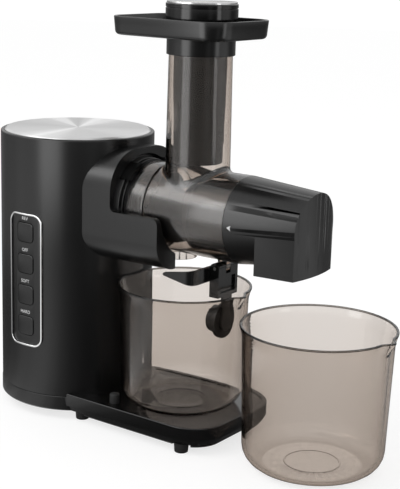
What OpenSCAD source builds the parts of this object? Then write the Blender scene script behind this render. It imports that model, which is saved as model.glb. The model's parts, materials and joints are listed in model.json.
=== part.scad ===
// Cold press juicer: motor column, juicing chamber and two cups, in millimetres, +Z up.
// The unit stands on its feet at z = 0, and +X runs from the motor column to the pulp cup.

/* [Motor column] */
// Radius of the motor column
body_r = 70; // [68:1:76]
// Wall of the motor column
body_wall = 2.5; // [2:0.5:4]
// Height of the column's rim above the table
body_top = 255.5; // [252:0.5:262]
// Width of the rim around the steel top disc
rim_w = 3.4; // [2:0.1:6]
// Thickness of the steel top disc
disc_t = 2.4; // [1.6:0.2:3]
// How far the steel disc stands above the rim
disc_proud = 1.5; // [0.6:0.1:1.5]
// Height of the base ring's joint with the column
base_top = 21.5; // [20:0.5:24]
// How far the base ring stands out past the column
base_lip = 0.3; // [0.1:0.1:1]

/* [Base] */
// Length of the plank from the column's wall
plank_l = 120.5; // [116:0.5:126]
// Width of the plank
plank_w = 116.6; // [110:0.2:124]
// Corner radius of the plank's end
plank_r = 32; // [20:1:40]
// Height of the plank's lip above the table
plank_top = 24.4; // [23.8:0.1:26]
// Width of the plank's lip
lip_w = 5; // [3:0.5:8]
// Depth of the recess that the juice cup stands in
recess_t = 1; // [0.5:0.1:2]
// Wall of the hollow base
base_wall = 3; // [2.5:0.5:4]
// Height of the feet
foot_h = 8; // [6:0.5:10]
// Radius of a foot
foot_r = 6.5; // [5:0.5:8]
// Thickness of the bottom plate
plate_t = 2.5; // [2:0.5:4]
// Radius of the cup stop
stop_r = 4.4; // [3:0.2:5]
// Gap between the cup stop and the juice cup
stop_gap = 4; // [1:0.5:6]
// Height of the cup stop above the recess
stop_h = 9; // [6:0.5:12]

/* [Control panel] */
// Width over the chrome frame
panel_w = 38; // [36:0.5:42]
// Height of the chrome frame beyond the span of the buttons' centres
panel_h = 36.2; // [32.2:1:40.2]
// Height of the panel's centre above the table
panel_z = 126.5; // [122:0.5:130]
// Corner radius of the chrome frame
panel_r = 9; // [7:0.5:12]
// Width of the chrome frame
frame_w = 1.7; // [1.2:0.1:2.4]
// How far the chrome frame stands out
frame_proud = 1.8; // [1:0.1:2.5]
// Width of a button
button_w = 18.8; // [16:0.2:20]
// Height of a button
button_h = 17.4; // [15:0.2:18]
// Distance between two buttons' centres
button_pitch = 28.6; // [27.4:0.2:29]
// Height of the buttons' middle above the panel's centre
button_z0 = 0.6; // [-0.6:0.2:2.4]
// Travel of a button
button_travel = 1.2; // [0.8:0.1:1.4]

/* [Arm] */
// Height of the auger's axis above the table
axis_z = 198.7; // [197:0.1:201]
// Width of the arm at the column
arm_w0 = 101; // [99:0.5:103]
// Width of the arm at its front end
arm_w1 = 92; // [91:0.5:96]
// Height of the arm above and below the auger's axis
arm_half_h = 49; // [48:0.5:52]
// Upper corner radius of the arm
arm_rt = 35; // [30:1:38]
// Lower corner radius of the arm
arm_rb = 25; // [18:1:30]
// Distance of the arm's upper rim from the column's wall along X
mouth_x = 9; // [7:0.5:11]
// Distance of the lower jaw's front face from the column's wall along X
jaw_x = 58.7; // [54:0.1:60]
// Depth of the jaw's upper edge below the auger's axis
jaw_drop = 1.7; // [0:0.1:6]
// Distance of the jaw's inner side from the middle plane
jaw_in = 19; // [18:0.5:24]
// Wall of the arm
arm_wall = 3; // [2:0.5:4]

/* [Chamber] */
// Outer radius of the juicing chamber
ch_r = 37.6; // [37:0.1:38.4]
// Wall of the juicing chamber
ch_wall = 2.8; // [2.2:0.1:3]
// Distance of the joint with the end cap from the column's wall along X
joint_x = 119.4; // [116:0.1:122]
// Length of the spigot that the end cap turns on
spigot_l = 9; // [8:0.5:11]
// Distance of the feed chute's axis from the column's wall along X
chute_x = 66; // [62:0.5:70]
// Outer radius of the chute at its foot
chute_r0 = 27.9; // [27:0.1:29]
// Outer radius of the chute at its top
chute_r1 = 26.8; // [26:0.1:27.4]
// Wall of the chute
chute_wall = 2; // [1.8:0.1:2.6]
// Radius of the juice spout's bore
spout_r = 13.3; // [12:0.1:14]
// Thickness of the juice spout's wall
spout_wall = 2.2; // [1.6:0.1:2.6]

/* [Hopper and pusher] */
// Length of the hopper tray
tray_l = 118; // [108:1:126]
// Width of the hopper tray
tray_w = 86; // [78:1:92]
// How far the tray's centre lies behind the chute
tray_shift = 11; // [6:0.5:14]
// Height of the tray's underside above the table
tray_z = 347; // [344:0.5:350]
// Height of the tray
tray_h = 15.7; // [12:0.1:20]
// Wall and floor of the tray
tray_wall = 2.5; // [2:0.1:3.2]
// Radius of the tray's corners
tray_r = 20; // [12:0.5:22]
// Wall of the collar under the tray
collar_wall = 1.9; // [1.5:0.1:3]
// Length of the collar
collar_l = 14.3; // [10:0.1:20]
// Radius of the pusher's head
head_r = 30.4; // [28.5:0.1:32]
// Height of the pusher's head without its steel cap
head_h = 25.7; // [18:0.1:30]
// Thickness of the pusher's steel cap
steel_t = 1.6; // [1:0.1:2.4]
// Length of the pusher's stem
stem_l = 108; // [90:1:110]
// Room between the pusher's stem and the chute
stem_gap = 1.8; // [0.6:0.1:2.5]
// Taper of the pusher's stem on its radius
stem_taper = 1.8; // [0.5:0.1:3]

/* [End cap] */
// Distance of the end cap's front face from its joint along X
cap_x = 68.2; // [64.6:0.1:72.6]
// Half width of the end cap at its front
cap_w = 30; // [28:0.5:33]
// Height of the end cap's top above the auger's axis at its front
cap_up = 32.4; // [31:0.1:35]
// Depth of the pulp outlet's mouth below the auger's axis
cap_down = 36.6; // [36:0.1:40]
// Distance of the pulp outlet's rear wall from the end cap's joint along X
box_x = 29.6; // [26.6:0.5:34.6]
// Wall of the end cap
cap_wall = 2.2; // [1.8:0.1:2.4]
// Radius of the end cap's bulged front face
cap_bulge = 130; // [110:5:180]
// Twist that frees the end cap, in degrees
cap_twist = 30; // [24:1:36]

/* [Stopper lever] */
// Distance of the lever's hinge pin from the column's wall along X
pin_x = 96.8; // [95.6:0.1:98]
// Height of the hinge pin above the table
pin_z = 155; // [154.4:0.1:155.4]
// Radius of the hinge pin
pin_r = 1.6; // [1.2:0.1:2]
// Thickness of the lever's block
block_t = 9.4; // [8.4:0.1:9.6]
// Width of the lever's block
block_w = 28.6; // [24:0.2:30]
// Height of the lever's block under its pin
block_h = 25.5; // [22:0.5:28]
// Distance from the hinge pin to the plug's centre
plug_arm = 48; // [46:0.5:49.5]
// Length of the plug's boss
plug_l = 9; // [6:0.5:9]
// Reach of the lever's thumb tab along X
tab_l = 31; // [24:0.5:32]

/* [Auger and strainer] */
// Outer radius of the auger's flight
auger_r = 29.6; // [28.4:0.1:29.8]
// Radius of the auger's core at its rear end
core_r0 = 12; // [10:0.5:14]
// Radius of the auger's core at its front end
core_r1 = 21; // [17:0.5:23]
// Turns of the auger's flight
auger_turns = 3.5; // [2:0.5:5]
// Number of the strainer's ribs
rib_n = 12; // [6:1:16]

/* [Drive] */
// Distance between the drive's two gear axes
gear_c = 42; // [42:1:42]
// Teeth of both pinions
pinion_n = 14; // [14:1:14]
// Teeth of the idler gear
idler_n = 91; // [91:1:91]
// Teeth of the output gear
output_n = 42; // [42:1:42]
// Radius of the motor can
motor_r = 37; // [34:0.5:38]
// Length of the motor can
motor_l = 64; // [58:1:76]
// Radius of the output shaft
out_r = 6; // [5:0.5:7]

/* [Cups] */
// Distance of the juice cup's wall from the column's wall along X
cup_x = 1.5; // [0.1:0.2:3.1]
// Height of the juice cup
cup_h = 108.4; // [104:0.2:109]
// Radius of the juice cup's rim
cup_rim = 59.5; // [57:0.1:60]
// Radius of the juice cup's wall under its rim
cup_r1 = 53.9; // [52:0.1:54.5]
// Radius of the juice cup's wall at its foot
cup_r0 = 52.5; // [50:0.1:53]
// Distance of the pulp cup's rim from the plank's end along X
pulp_x = 7.3; // [6.1:0.2:12.1]
// Height of the pulp cup
pulp_h = 120.9; // [116:0.1:124]
// Radius of the pulp cup's rim
pulp_rim = 65.4; // [64:0.1:67]
// Radius of the pulp cup's wall under its rim
pulp_r1 = 62.9; // [61:0.1:63.5]
// Radius of the pulp cup's wall at its foot
pulp_r0 = 59.6; // [57:0.1:60.5]
// Wall of the cups
cup_wall = 2.2; // [1.6:0.1:3]
// Radius of the cups' bottom corner
cup_corner = 18; // [14:0.5:20]
// Thickness of the cups' rims
lip_t = 2.2; // [1.6:0.1:2.6]
// Height of the flare under the cups' rims
flare_h = 14; // [10:0.5:18]
// Height of the cups' spouts
pour_h = 15; // [12:0.5:18]
// Half width of the cups' spouts
spout_w = 9; // [7:0.5:11]
// How far the cups' spouts stand out past the rim
spout_out = 5; // [3:0.1:6]

/* [Hidden] */
$fn = 96;
eps = 0.05;
seam = 0.15;          // shadow gap between two fixed shells
run_fit = 0.05;       // radial clearance of a shaft in its bearing
slide_fit = 0.3;      // clearance between pieces that are put together by hand
disc_r = body_r - rim_w;
body_in = body_r - body_wall;
base_r = body_r + base_lip;
cup_z = plank_top - recess_t;
nest_gap = 0.7;       // between the juice cup's rim and the column
plank_end = body_r + plank_l;
cup_at = body_r + cup_x + cup_r1;
pulp_at = plank_end + pulp_x + pulp_rim;
spout_tip = pulp_at + pulp_rim + spout_out;
mid_x = (spout_tip - base_r) / 2;
floor_t = 3.5;        // closed top wall of the base
board_y = body_r - 10.4;
board_t = 1.6;
switch_t = 2.8;
cord_z = 42;
gland_r = 6;
plate_in = 2.6;       // depth of the panel plate in the column's wall
arm_at = body_r - 30; // rear end of the arm's solid, inside the column's outline
mouth_at = body_r + mouth_x;
jaw_at = body_r + jaw_x;
socket_at = body_r + 2; // front face of the arm's bulkhead
bulk_t = 3;
socket_l = 9.5;
socket_r = 40;
ring_at = socket_at + socket_l;
ring_l = 4;
collar_at = ring_at + ring_l;
rear_wall_at = collar_at - 0.5;
collar_end = collar_at + 20.5;
groove_w = 2.2;
ch_in = ch_r - ch_wall;
spig_out = ch_r - cap_wall - slide_fit;
spig_in = spig_out - 2.1;
joint_at = body_r + joint_x;
cap_at = joint_at + cap_x;
box_at = joint_at + box_x;
chute_at = body_r + chute_x;
chute_top = tray_z;
chute_cut = axis_z + 42; // flat joint between the chamber and the upper part of its chute
chute_flare = 5;      // how far the chute's foot flares out
pin_at = body_r + pin_x;
spout_axis = pin_at - plug_arm;
plug_t = 3;           // thickness of the plug's flange
stem_t = 2.5;         // thickness of the lever's plug plate
spout_z = pin_z + stem_t + plug_t - block_t / 2 + 0.25;
plug_r = spout_r - 0.6;
flange_r = spout_r + spout_wall + 0.2;
gear_z = axis_z - gear_c;
mod1 = 2 * gear_c / (pinion_n + idler_n);
mod2 = 2 * gear_c / (pinion_n + output_n);
motor_x1 = 28;
cover_t = 3;
stage1_x = 33;
stage1_w = 7;
case_wall = 2.5;
step_x = stage1_x + stage1_w + 0.8 + case_wall;
stage2_x = step_x + 0.7;
stage2_w = 9;
case_x1 = stage2_x + stage2_w + 1 + case_wall;
boss_x = socket_at + 6;
boss_r = 16;
shaft_r = 3;
bearing_r = 9;
fan_r = 25;
fan_hub_r = 7;
fan_l = 7;
idler_r = 4;
hub_r = 13;
hex_r = 7;
flight_x0 = collar_at + 10.5;
flight_x1 = joint_at + 16.6;
pin_nose_x = flight_x1 + 22;
nose_r = 5;

// Moves the unit so that the middle of its outline stands over the origin
module place() translate([-mid_x, 0, 0]) children();

// Puts children with their local Z along +X at a height, local X points down
module along_x(x, z = axis_z) translate([x, 0, z]) rotate([0, 90, 0]) children();

module tube(ro, ri, h) difference() {
    cylinder(r = ro, h = h);
    translate([0, 0, -1]) cylinder(r = ri, h = h + 2);
}

// Rounded rectangle around the origin
module rrect(w, h, r) {
    square([w - 2 * r, h], center = true);
    square([w, h - 2 * r], center = true);
    for (sx = [-1, 1], sy = [-1, 1]) translate([sx * (w / 2 - r), sy * (h / 2 - r)]) circle(r);
}

// Prism through the control panel, between two distances in front of the column's axis
module panel_prism(w, h, r, z, d0, d1)
    translate([0, -d0, z]) rotate([90, 0, 0]) linear_extrude(d1 - d0) rrect(w, h, r);

// Part of the column's cylindrical shell that a panel prism cuts out
module panel_shell(w, h, r, z, r0, r1) intersection() {
    difference() {
        cylinder(r = r1, h = body_top);
        translate([0, 0, -1]) cylinder(r = r0, h = body_top + 2);
    }
    panel_prism(w, h, r, z, r0 * 0.8, r1 + 1);
}

// Involute gear outline with its first tooth on local X
function inv(rb, r) = rb >= r ? 0 : let (a = acos(rb / r)) tan(a) * 180 / PI - a;
function gear_points(n, m, thin) =
    let (rp = n * m / 2, rb = rp * cos(20), half = 90 / n - thin / rp * 180 / PI,
        rs = [rp - 1.1 * m, max(rb, rp - 0.6 * m), rp, rp + 0.8 * m],
        flank = [for (r = rs) [r, half + inv(rb, rp) - inv(rb, r)]])
    [for (i = [0 : n - 1], k = [0 : 7]) let (f = flank[k < 4 ? k : 7 - k], s = k < 4 ? -1 : 1,
        a = i * 360 / n + s * f[1]) [f[0] * cos(a), f[0] * sin(a)]];
module gear(n, m, w, bore, turn = 0) difference() {
    rotate(turn) linear_extrude(w) polygon(gear_points(n, m, 0.06));
    translate([0, 0, -1]) cylinder(r = bore, h = w + 2);
}

module motor_housing() place() color([0.07, 0.07, 0.08]) difference() {
    translate([0, 0, base_top + seam]) cylinder(r = body_r, h = body_top - base_top - seam);
    cylinder(r = body_in, h = body_top - disc_t - body_wall + disc_proud);
    translate([0, 0, body_top - disc_t + disc_proud]) cylinder(r = disc_r + seam, h = disc_t);
    panel_prism(panel_w - 2 * frame_w, panel_tall - 2 * frame_w, panel_r - frame_w, panel_z,
        body_in - 6, body_r + 1);
    along_x(0) linear_extrude(body_r + 5) rrect(arm_half_h * 2 - 8, arm_w1 - 5, arm_rb - 7);
    translate([0, body_r + 2, cord_z]) rotate([90, 0, 0]) cylinder(r = gland_r + run_fit, h = 10);
}

module top_disc() place() color("silver")
    translate([0, 0, body_top - disc_t + disc_proud]) difference() {
        cylinder(r = disc_r, h = disc_t);
        translate([0, 0, disc_t - 0.6]) difference() {
            cylinder(r = disc_r + 1, h = 1);
            translate([0, 0, -1]) cylinder(r1 = disc_r + 0.6, r2 = disc_r - 1.4, h = 2.6);
        }
    }

// Outline of the plank, drawn in from its edge
module plank_outline(inset) {
    translate([0, -plank_w / 2 + inset]) square([plank_end - plank_r, plank_w - 2 * inset]);
    translate([plank_end - plank_r - 1, -plank_w / 2 + plank_r])
        square([plank_r - inset + 1, plank_w - 2 * plank_r]);
    for (s = [-1, 1]) translate([plank_end - plank_r, s * (plank_w / 2 - plank_r)]) circle(plank_r - inset);
}

ring_in = body_r - 6;
ring_foot = (body_r - 3.5) * [cos(44), sin(44)];
end_foot = [plank_end - plank_r + 4.5, plank_w / 2 - 8.3];
plank_feet = [for (f = [ring_foot, end_foot], s = [-1, 1]) [f[0], s * f[1]]];
rear_foot = [12 - ring_in, 0];
stop_y = plank_w / 2 - 13.3;
stop_x = cup_at - sqrt(pow(cup_r0 + stop_gap + stop_r, 2) - pow(stop_y, 2));
plate_screw_a = [60, 120, 240, 300];
plate_screw_r = ring_in - 5;
screw_r = 1.9;

module base_shell() difference() {
    union() {
        translate([0, 0, foot_h + 1.5]) cylinder(r = base_r, h = base_top - foot_h - 1.5);
        translate([0, 0, foot_h]) cylinder(r1 = base_r - 1.5, r2 = base_r, h = 1.6);
        hull() {
            translate([0, 0, foot_h + 5]) linear_extrude(plank_top - foot_h - 5) plank_outline(0);
            translate([0, 0, foot_h]) linear_extrude(1) plank_outline(3.5);
        }
    }
    // room under the column
    translate([0, 0, foot_h - 1]) cylinder(r = ring_in, h = base_top - foot_h - floor_t + 1);
    translate([0, 0, base_top - floor_t - 1]) cylinder(r = ring_in - 8, h = 20);
    // room under the plank
    difference() {
        translate([0, 0, foot_h - 1]) linear_extrude(cup_z - base_wall - foot_h + 1) plank_outline(6.5);
        cylinder(r = ring_in + base_wall, h = 60);
        for (p = plank_feet) translate([p[0], p[1], 0]) cylinder(r = foot_r + 2, h = 60);
    }
    // recess for the juice cup
    difference() {
        translate([0, 0, cup_z]) linear_extrude(20) plank_outline(lip_w);
        cylinder(r = body_r + lip_w, h = 60);
    }
    // seat of the column
    translate([0, 0, base_top]) cylinder(r = body_r + seam, h = 20);
}

module base_plank() place() color([0.05, 0.05, 0.055]) difference() {
    union() {
        base_shell();
        for (a = plate_screw_a) rotate(a) translate([plate_screw_r, 0, foot_h + plate_t])
            cylinder(r = screw_r + 2.2, h = base_top - floor_t - foot_h - plate_t + 1);
    }
    for (a = plate_screw_a) rotate(a) translate([plate_screw_r, 0, 0])
        cylinder(r = screw_r + eps, h = base_top - 1);
}

module bottom_plate() place() color([0.08, 0.08, 0.08]) difference() {
    translate([0, 0, foot_h]) cylinder(r = ring_in - seam, h = plate_t);
    for (a = plate_screw_a) rotate(a) translate([plate_screw_r, 0, 0]) cylinder(r = screw_r + eps, h = 60);
}

module plate_screws() place() color("gray")
    for (a = plate_screw_a) rotate(a) translate([plate_screw_r, 0, foot_h]) {
        translate([0, 0, -1.2]) cylinder(r = 3.4, h = 1.2);
        translate([0, 0, -1.2]) cylinder(r = screw_r, h = plate_t + 7);
    }

module feet() place() color([0.1, 0.1, 0.1]) {
    for (p = concat(plank_feet, [rear_foot])) translate([p[0], p[1], 0])
        cylinder(r1 = foot_r - 0.6, r2 = foot_r, h = foot_h);
}

module cup_stop() place() color([0.1, 0.1, 0.1]) translate([stop_x, -stop_y, cup_z]) {
    cylinder(r = stop_r, h = stop_h - 2);
    translate([0, 0, stop_h - 2]) cylinder(r1 = stop_r, r2 = stop_r - 1.6, h = 2);
}

button_span = 3 * button_pitch;
panel_tall = panel_h + button_span;
button_low = panel_z + button_z0 - button_span / 2; // height of the lowest button's centre
button_room = 0.35;   // gap around a button
button_r = 4;
back_r = body_r - plate_in;
post_x = panel_w / 2 - 4.8;
post_z = panel_tall / 2 - 13;

module control_panel() place() color([0.09, 0.09, 0.1]) {
    difference() {
        panel_shell(panel_w - 2 * frame_w - 2 * seam, panel_tall - 2 * frame_w - 2 * seam,
            panel_r - frame_w - seam, panel_z, back_r, body_r + 0.4);
        for (i = [0 : 3]) panel_prism(button_w + 2 * button_room, button_h + 2 * button_room, button_r + 0.3,
            button_low + i * button_pitch, back_r * 0.8, body_r + 9);
    }
    for (sx = [-1, 1], sz = [-1, 0, 1]) translate([sx * post_x, -board_y, panel_z + sz * post_z])
        rotate([90, 0, 0]) cylinder(r = 1.8, h = sqrt(pow(back_r + 1, 2) - pow(post_x, 2)) - board_y);
}

module panel_frame() place() color("silver") difference() {
    panel_shell(panel_w, panel_tall, panel_r, panel_z, body_r + eps, body_r + frame_proud);
    panel_prism(panel_w - 2 * frame_w, panel_tall - 2 * frame_w, panel_r - frame_w, panel_z, 40, body_r + 9);
}

// One push button: face, retaining flange and stem
module push_button(i) place() color([0.13, 0.13, 0.14]) {
    z = button_low + i * button_pitch;
    panel_shell(button_w, button_h, button_r, z, back_r - 0.3, body_r + 0.9);
    panel_shell(button_w + 2.6, button_h + 2.6, button_r, z, back_r - 2.2, back_r - 0.2);
    translate([0, -board_y - switch_t - button_travel - 0.1, z]) rotate([90, 0, 0])
        cylinder(r = 3, h = back_r - 1 - board_y - switch_t - button_travel - 0.1);
}
module button_hard() push_button(0);
module button_soft() push_button(1);
module button_off() push_button(2);
module button_rev() push_button(3);

module control_board() place() color([0.05, 0.25, 0.12]) {
    translate([0, board_t - board_y, panel_z]) rotate([90, 0, 0])
        linear_extrude(board_t) square([panel_w - 5, panel_tall - 6], center = true);
    for (i = [0 : 3]) translate([-3, -board_y - switch_t, button_low + i * button_pitch - 3])
        cube([6, switch_t, 6]);
}

pcb_l = 70;           // power board in the base, its posts and its three largest components
pcb_w = 60;
pcb_post = 12;
pcb_z = foot_h + plate_t + pcb_post;
pcb_parts = [[-15, -11, 26, 22, 24], [25, -5, 18, 18, 28], [14, 13, 20, 14, 12]];

module power_board() place() color([0.05, 0.25, 0.12]) {
    translate([-pcb_l / 2, -pcb_w / 2, pcb_z]) cube([pcb_l, pcb_w, board_t]);
    for (sx = [-1, 1], sy = [-1, 1]) translate([sx * (pcb_l / 2 - 7), sy * (pcb_w / 2 - 6), foot_h + plate_t])
        cylinder(r = 3, h = pcb_post + eps);
    for (c = pcb_parts) translate([c[0] - c[2] / 2, c[1] - c[3] / 2, pcb_z + board_t - eps])
        cube([c[2], c[3], c[4]]);
}

module cord_gland() place() color([0.1, 0.1, 0.1]) translate([0, 0, cord_z]) rotate([-90, 0, 0]) {
    difference() {
        union() {
            translate([0, 0, body_r + seam]) cylinder(r = gland_r + 3, h = frame_proud - seam);
            translate([0, 0, body_r - 8]) cylinder(r = gland_r, h = 8 + eps + seam);
            translate([0, 0, body_r - 8]) cylinder(r = gland_r + 2, h = 4.5);
        }
        translate([0, 0, body_r - 10]) cylinder(r = 3.4, h = 20);
    }
}

// Cross section of the arm at one place along X
module arm_slice(x, w, inset) translate([x, 0, axis_z]) rotate([90, 0, 90]) linear_extrude(0.1)
    for (s = [-1, 1]) {
        translate([s * (w / 2 - arm_rt), arm_half_h - arm_rt]) circle(arm_rt - inset, $fn = 64);
        translate([s * (w / 2 - arm_rb), arm_rb - arm_half_h]) circle(arm_rb - inset, $fn = 64);
    }

mouth_fillet = 5;
jaw_round = 6;
jaw_top = axis_z - jaw_drop;

// Side view of the arm: upright part, lower jaw and the fillet between them
module arm_profile() {
    translate([arm_at, axis_z - 80]) square([mouth_at - arm_at, 160]);
    translate([arm_at, axis_z - 80]) square([jaw_at - jaw_round - arm_at, 80 - jaw_drop]);
    translate([arm_at, axis_z - 80]) square([jaw_at - arm_at, 80 - jaw_drop - jaw_round]);
    translate([jaw_at - jaw_round, jaw_top - jaw_round]) circle(jaw_round);
    difference() {
        translate([mouth_at - 1, jaw_top - 1]) square(mouth_fillet + 1);
        translate([mouth_at + mouth_fillet, jaw_top + mouth_fillet]) circle(mouth_fillet);
    }
}

module arm_housing() place() color([0.07, 0.07, 0.08]) difference() {
    intersection() {
        hull() {
            arm_slice(arm_at, arm_w0, 0);
            arm_slice(jaw_at - 0.1, arm_w1, 0);
        }
        translate([0, 60, 0]) rotate([90, 0, 0]) linear_extrude(120) arm_profile();
    }
    cylinder(r = body_r + seam, h = 400);
    // room for the gearbox
    intersection() {
        hull() {
            arm_slice(arm_at - 1, arm_w0, arm_wall);
            arm_slice(jaw_at, arm_w1, arm_wall);
        }
        translate([0, -60, 0]) cube([socket_at - bulk_t, 120, 400]);
    }
    // mouth
    along_x(socket_at) cylinder(r = socket_r + 3.6, h = mouth_at - socket_at + 1);
    along_x(socket_at) cylinder(r = socket_r + 0.4, h = 80);
    along_x(socket_at - 10) cylinder(r = boss_r + seam, h = 20);
    // open side of the jaw
    translate([mouth_at + 6, -jaw_in, 0]) cube([80, 120, 400]);
}

module socket_ring() place() color([0.2, 0.2, 0.21]) along_x(socket_at) difference() {
    union() {
        cylinder(r = socket_r, h = socket_l);
        cylinder(r = socket_r + 1.6, h = 3);
    }
    translate([0, 0, -1]) cylinder(r = boss_r + slide_fit, h = 20);
    translate([0, 0, 1]) cylinder(r = hub_r + 16.8, h = 20);
}

module motor_can() place() color("gray") along_x(motor_x1 - motor_l) difference() {
    cylinder(r = motor_r, h = motor_l);
    translate([0, 0, -1]) cylinder(r = motor_r - 2, h = motor_l - 2);
    cylinder(r = bearing_r + run_fit, h = motor_l + 1);
}

module motor_end_bell() place() color("dimgray") along_x(motor_x1 - motor_l - 4 - seam) difference() {
    union() {
        cylinder(r = motor_r, h = 4);
        cylinder(r = motor_r - 2 - seam, h = 8);
    }
    translate([0, 0, 4]) cylinder(r = motor_r - 6, h = 8);
    translate([0, 0, -1]) cylinder(r = bearing_r + run_fit, h = 12);
}

module motor_magnets() place() color([0.25, 0.25, 0.27]) along_x(motor_x1 - motor_l + 12)
    difference() {
        tube(motor_r - 2 - seam, motor_r - 9, motor_l - 24);
        for (a = [0, 90]) rotate(a) translate([-60, -4, -1]) cube([120, 8, motor_l]);
    }

module motor_armature() place() color("peru") {
    along_x(motor_x1 - motor_l - 15) cylinder(r = shaft_r, h = motor_l + 15 + stage1_x + stage1_w - motor_x1);
    along_x(motor_x1 - motor_l + 14) difference() {
        cylinder(r = motor_r - 10, h = motor_l - 30);
        for (a = [0 : 30 : 330]) rotate(a) translate([motor_r - 15, -1.2, -1]) cube([8, 2.4, motor_l]);
    }
    along_x(motor_x1 - motor_l + 5) cylinder(r = bearing_r, h = 9);
}

module motor_fan() place() color([0.15, 0.15, 0.15]) along_x(motor_x1 - motor_l - 14) {
    difference() {
        union() {
            cylinder(r = fan_hub_r, h = fan_l);
            cylinder(r = fan_r, h = 1.5);
            for (a = [0 : 40 : 320]) rotate(a) translate([fan_hub_r - 1, -0.8, 1])
                cube([fan_r - fan_hub_r, 1.6, fan_l - 1]);
        }
        translate([0, 0, -1]) cylinder(r = shaft_r + 0.02, h = 20);
    }
}

module motor_bearings() place() color("silver") {
    along_x(motor_x1 - motor_l - 4) tube(bearing_r, shaft_r + 0.02, 4);
    along_x(motor_x1 - 2) tube(bearing_r, shaft_r + 0.02, 2);
}

module motor_pinion() place() color("darkgoldenrod") along_x(stage1_x)
    gear(pinion_n, mod1, stage1_w, shaft_r + 0.02);

// Outline of the gearbox room around both gear axes
module gear_room(x, h, r_top, r_low) hull() {
    along_x(x) cylinder(r = r_top, h = h, $fn = 64);
    along_x(x, gear_z) cylinder(r = r_low, h = h, $fn = 64);
}
idler_tip = mod1 * idler_n / 2 + mod1;
output_tip = mod2 * output_n / 2 + mod2;
pinion_tip = mod2 * pinion_n / 2 + mod2;
cover_x = motor_x1 + seam;
case_x0 = cover_x + cover_t;
screw_pts = [[24, -30], [24, 30], [-61, -36], [-61, 36]];

module gearbox_case() place() color([0.35, 0.35, 0.37]) difference() {
    union() {
        gear_room(case_x0, step_x - case_x0, output_tip + case_wall, idler_tip + case_wall);
        gear_room(step_x - 1, case_x1 - step_x + 1, output_tip + 0.5 + case_wall, pinion_tip + case_wall);
        along_x(case_x1 - 2) cylinder(r = boss_r, h = boss_x - case_x1 + 2);
        for (p = screw_pts) translate([case_x0, p[1], axis_z + p[0]]) rotate([0, 90, 0])
            cylinder(r = 4, h = 6);
    }
    gear_room(case_x0 - 1, step_x - case_x0 + 1 - case_wall, output_tip, idler_tip + 0.5);
    gear_room(step_x - 4, case_x1 - step_x + 4 - case_wall, output_tip + 0.5, pinion_tip + 0.5);
    along_x(case_x1 - 5) cylinder(r = 13 + run_fit, h = 40);
    along_x(case_x1 - 5, gear_z) cylinder(r = idler_r, h = 10);
    for (p = screw_pts) translate([case_x0 - 1, p[1], axis_z + p[0]]) rotate([0, 90, 0])
        cylinder(r = 1.7, h = 9);
}

module gearbox_cover() place() color([0.35, 0.35, 0.37]) difference() {
    union() {
        gear_room(cover_x, cover_t, output_tip + case_wall, idler_tip + case_wall);
        for (p = screw_pts) translate([cover_x, p[1], axis_z + p[0]]) rotate([0, 90, 0])
            cylinder(r = 4, h = cover_t);
    }
    along_x(cover_x - 1) cylinder(r = shaft_r + 1, h = 10);
    along_x(cover_x - 1, gear_z) cylinder(r = idler_r, h = 10);
    for (p = screw_pts) translate([cover_x - 1, p[1], axis_z + p[0]]) rotate([0, 90, 0]) {
        cylinder(r = 1.7, h = 9);
        cylinder(r = 3.05, h = 3);
    }
}

module gearbox_screws() place() color("gray")
    for (p = screw_pts) translate([cover_x + 0.2, p[1], axis_z + p[0]]) rotate([0, 90, 0]) {
        cylinder(r = 3, h = 1.8);
        cylinder(r = 1.65, h = 8);
    }

module idler_shaft() place() color("silver") along_x(cover_x, gear_z)
    cylinder(r = idler_r - 0.02, h = case_x1 - cover_x);

module idler_gear() place() color("ivory") along_x(stage1_x, gear_z)
    gear(idler_n, mod1, stage1_w, idler_r + run_fit);

module idler_pinion() place() color("darkgoldenrod") along_x(stage1_x + stage1_w, gear_z)
    gear(pinion_n, mod2, stage2_x + stage2_w - stage1_x - stage1_w, idler_r + run_fit, 180 / pinion_n);

module output_gear() place() color("dimgray") along_x(stage2_x)
    gear(output_n, mod2, stage2_w, out_r + 0.02);

module output_shaft() place() color("silver") {
    along_x(stage2_x) cylinder(r = out_r, h = boss_x - stage2_x + 2);
    along_x(boss_x + 2 - eps) cylinder(r = hex_r, h = 14, $fn = 6);
}

module output_bearings() place() color("silver") {
    along_x(case_x1 - case_wall + 0.5) tube(13, out_r + run_fit, 6);
    along_x(boss_x - 7) tube(13, out_r + run_fit, 6);
}

module lock_ring() place() color([0.04, 0.04, 0.04]) along_x(ring_at) {
    tube(ch_r + 1.9, spig_rear + seam, ring_l);
    for (a = [140, 220]) rotate(a) intersection() {
        union() {
            tube(socket_r + lock_lug_t, ch_r + 0.9, lock_lug_l);
            translate([0, 0, -lock_lug_back]) tube(socket_r + lock_lug_t, socket_r + seam, lock_lug_back + 1);
        }
        translate([0, 0, -lock_lug_back - 1]) linear_extrude(lock_lug_l + lock_lug_back + 2)
            polygon([[0, 0], [60, -14], [60, 14]]);
    }
}
lock_lug_t = 3;
lock_lug_l = 7;
lock_lug_back = 4;    // reach of the lugs over the socket ring
spig_rear = 29.6;     // outer radius of the chamber's rear spigot

lug_w = 6;

// Cone around the chute's axis through its outside or, drawn in by a wall, through its bore
module chute_cone(inset, z0, z1) intersection() {
    translate([chute_at, 0, axis_z]) cylinder(r1 = chute_r0 + 0.6 - inset, r2 = chute_r1 - inset,
        h = chute_top - axis_z + eps);
    translate([chute_at, 0, z0]) cylinder(r = chute_r0 + 5, h = z1 - z0);
}

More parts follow.
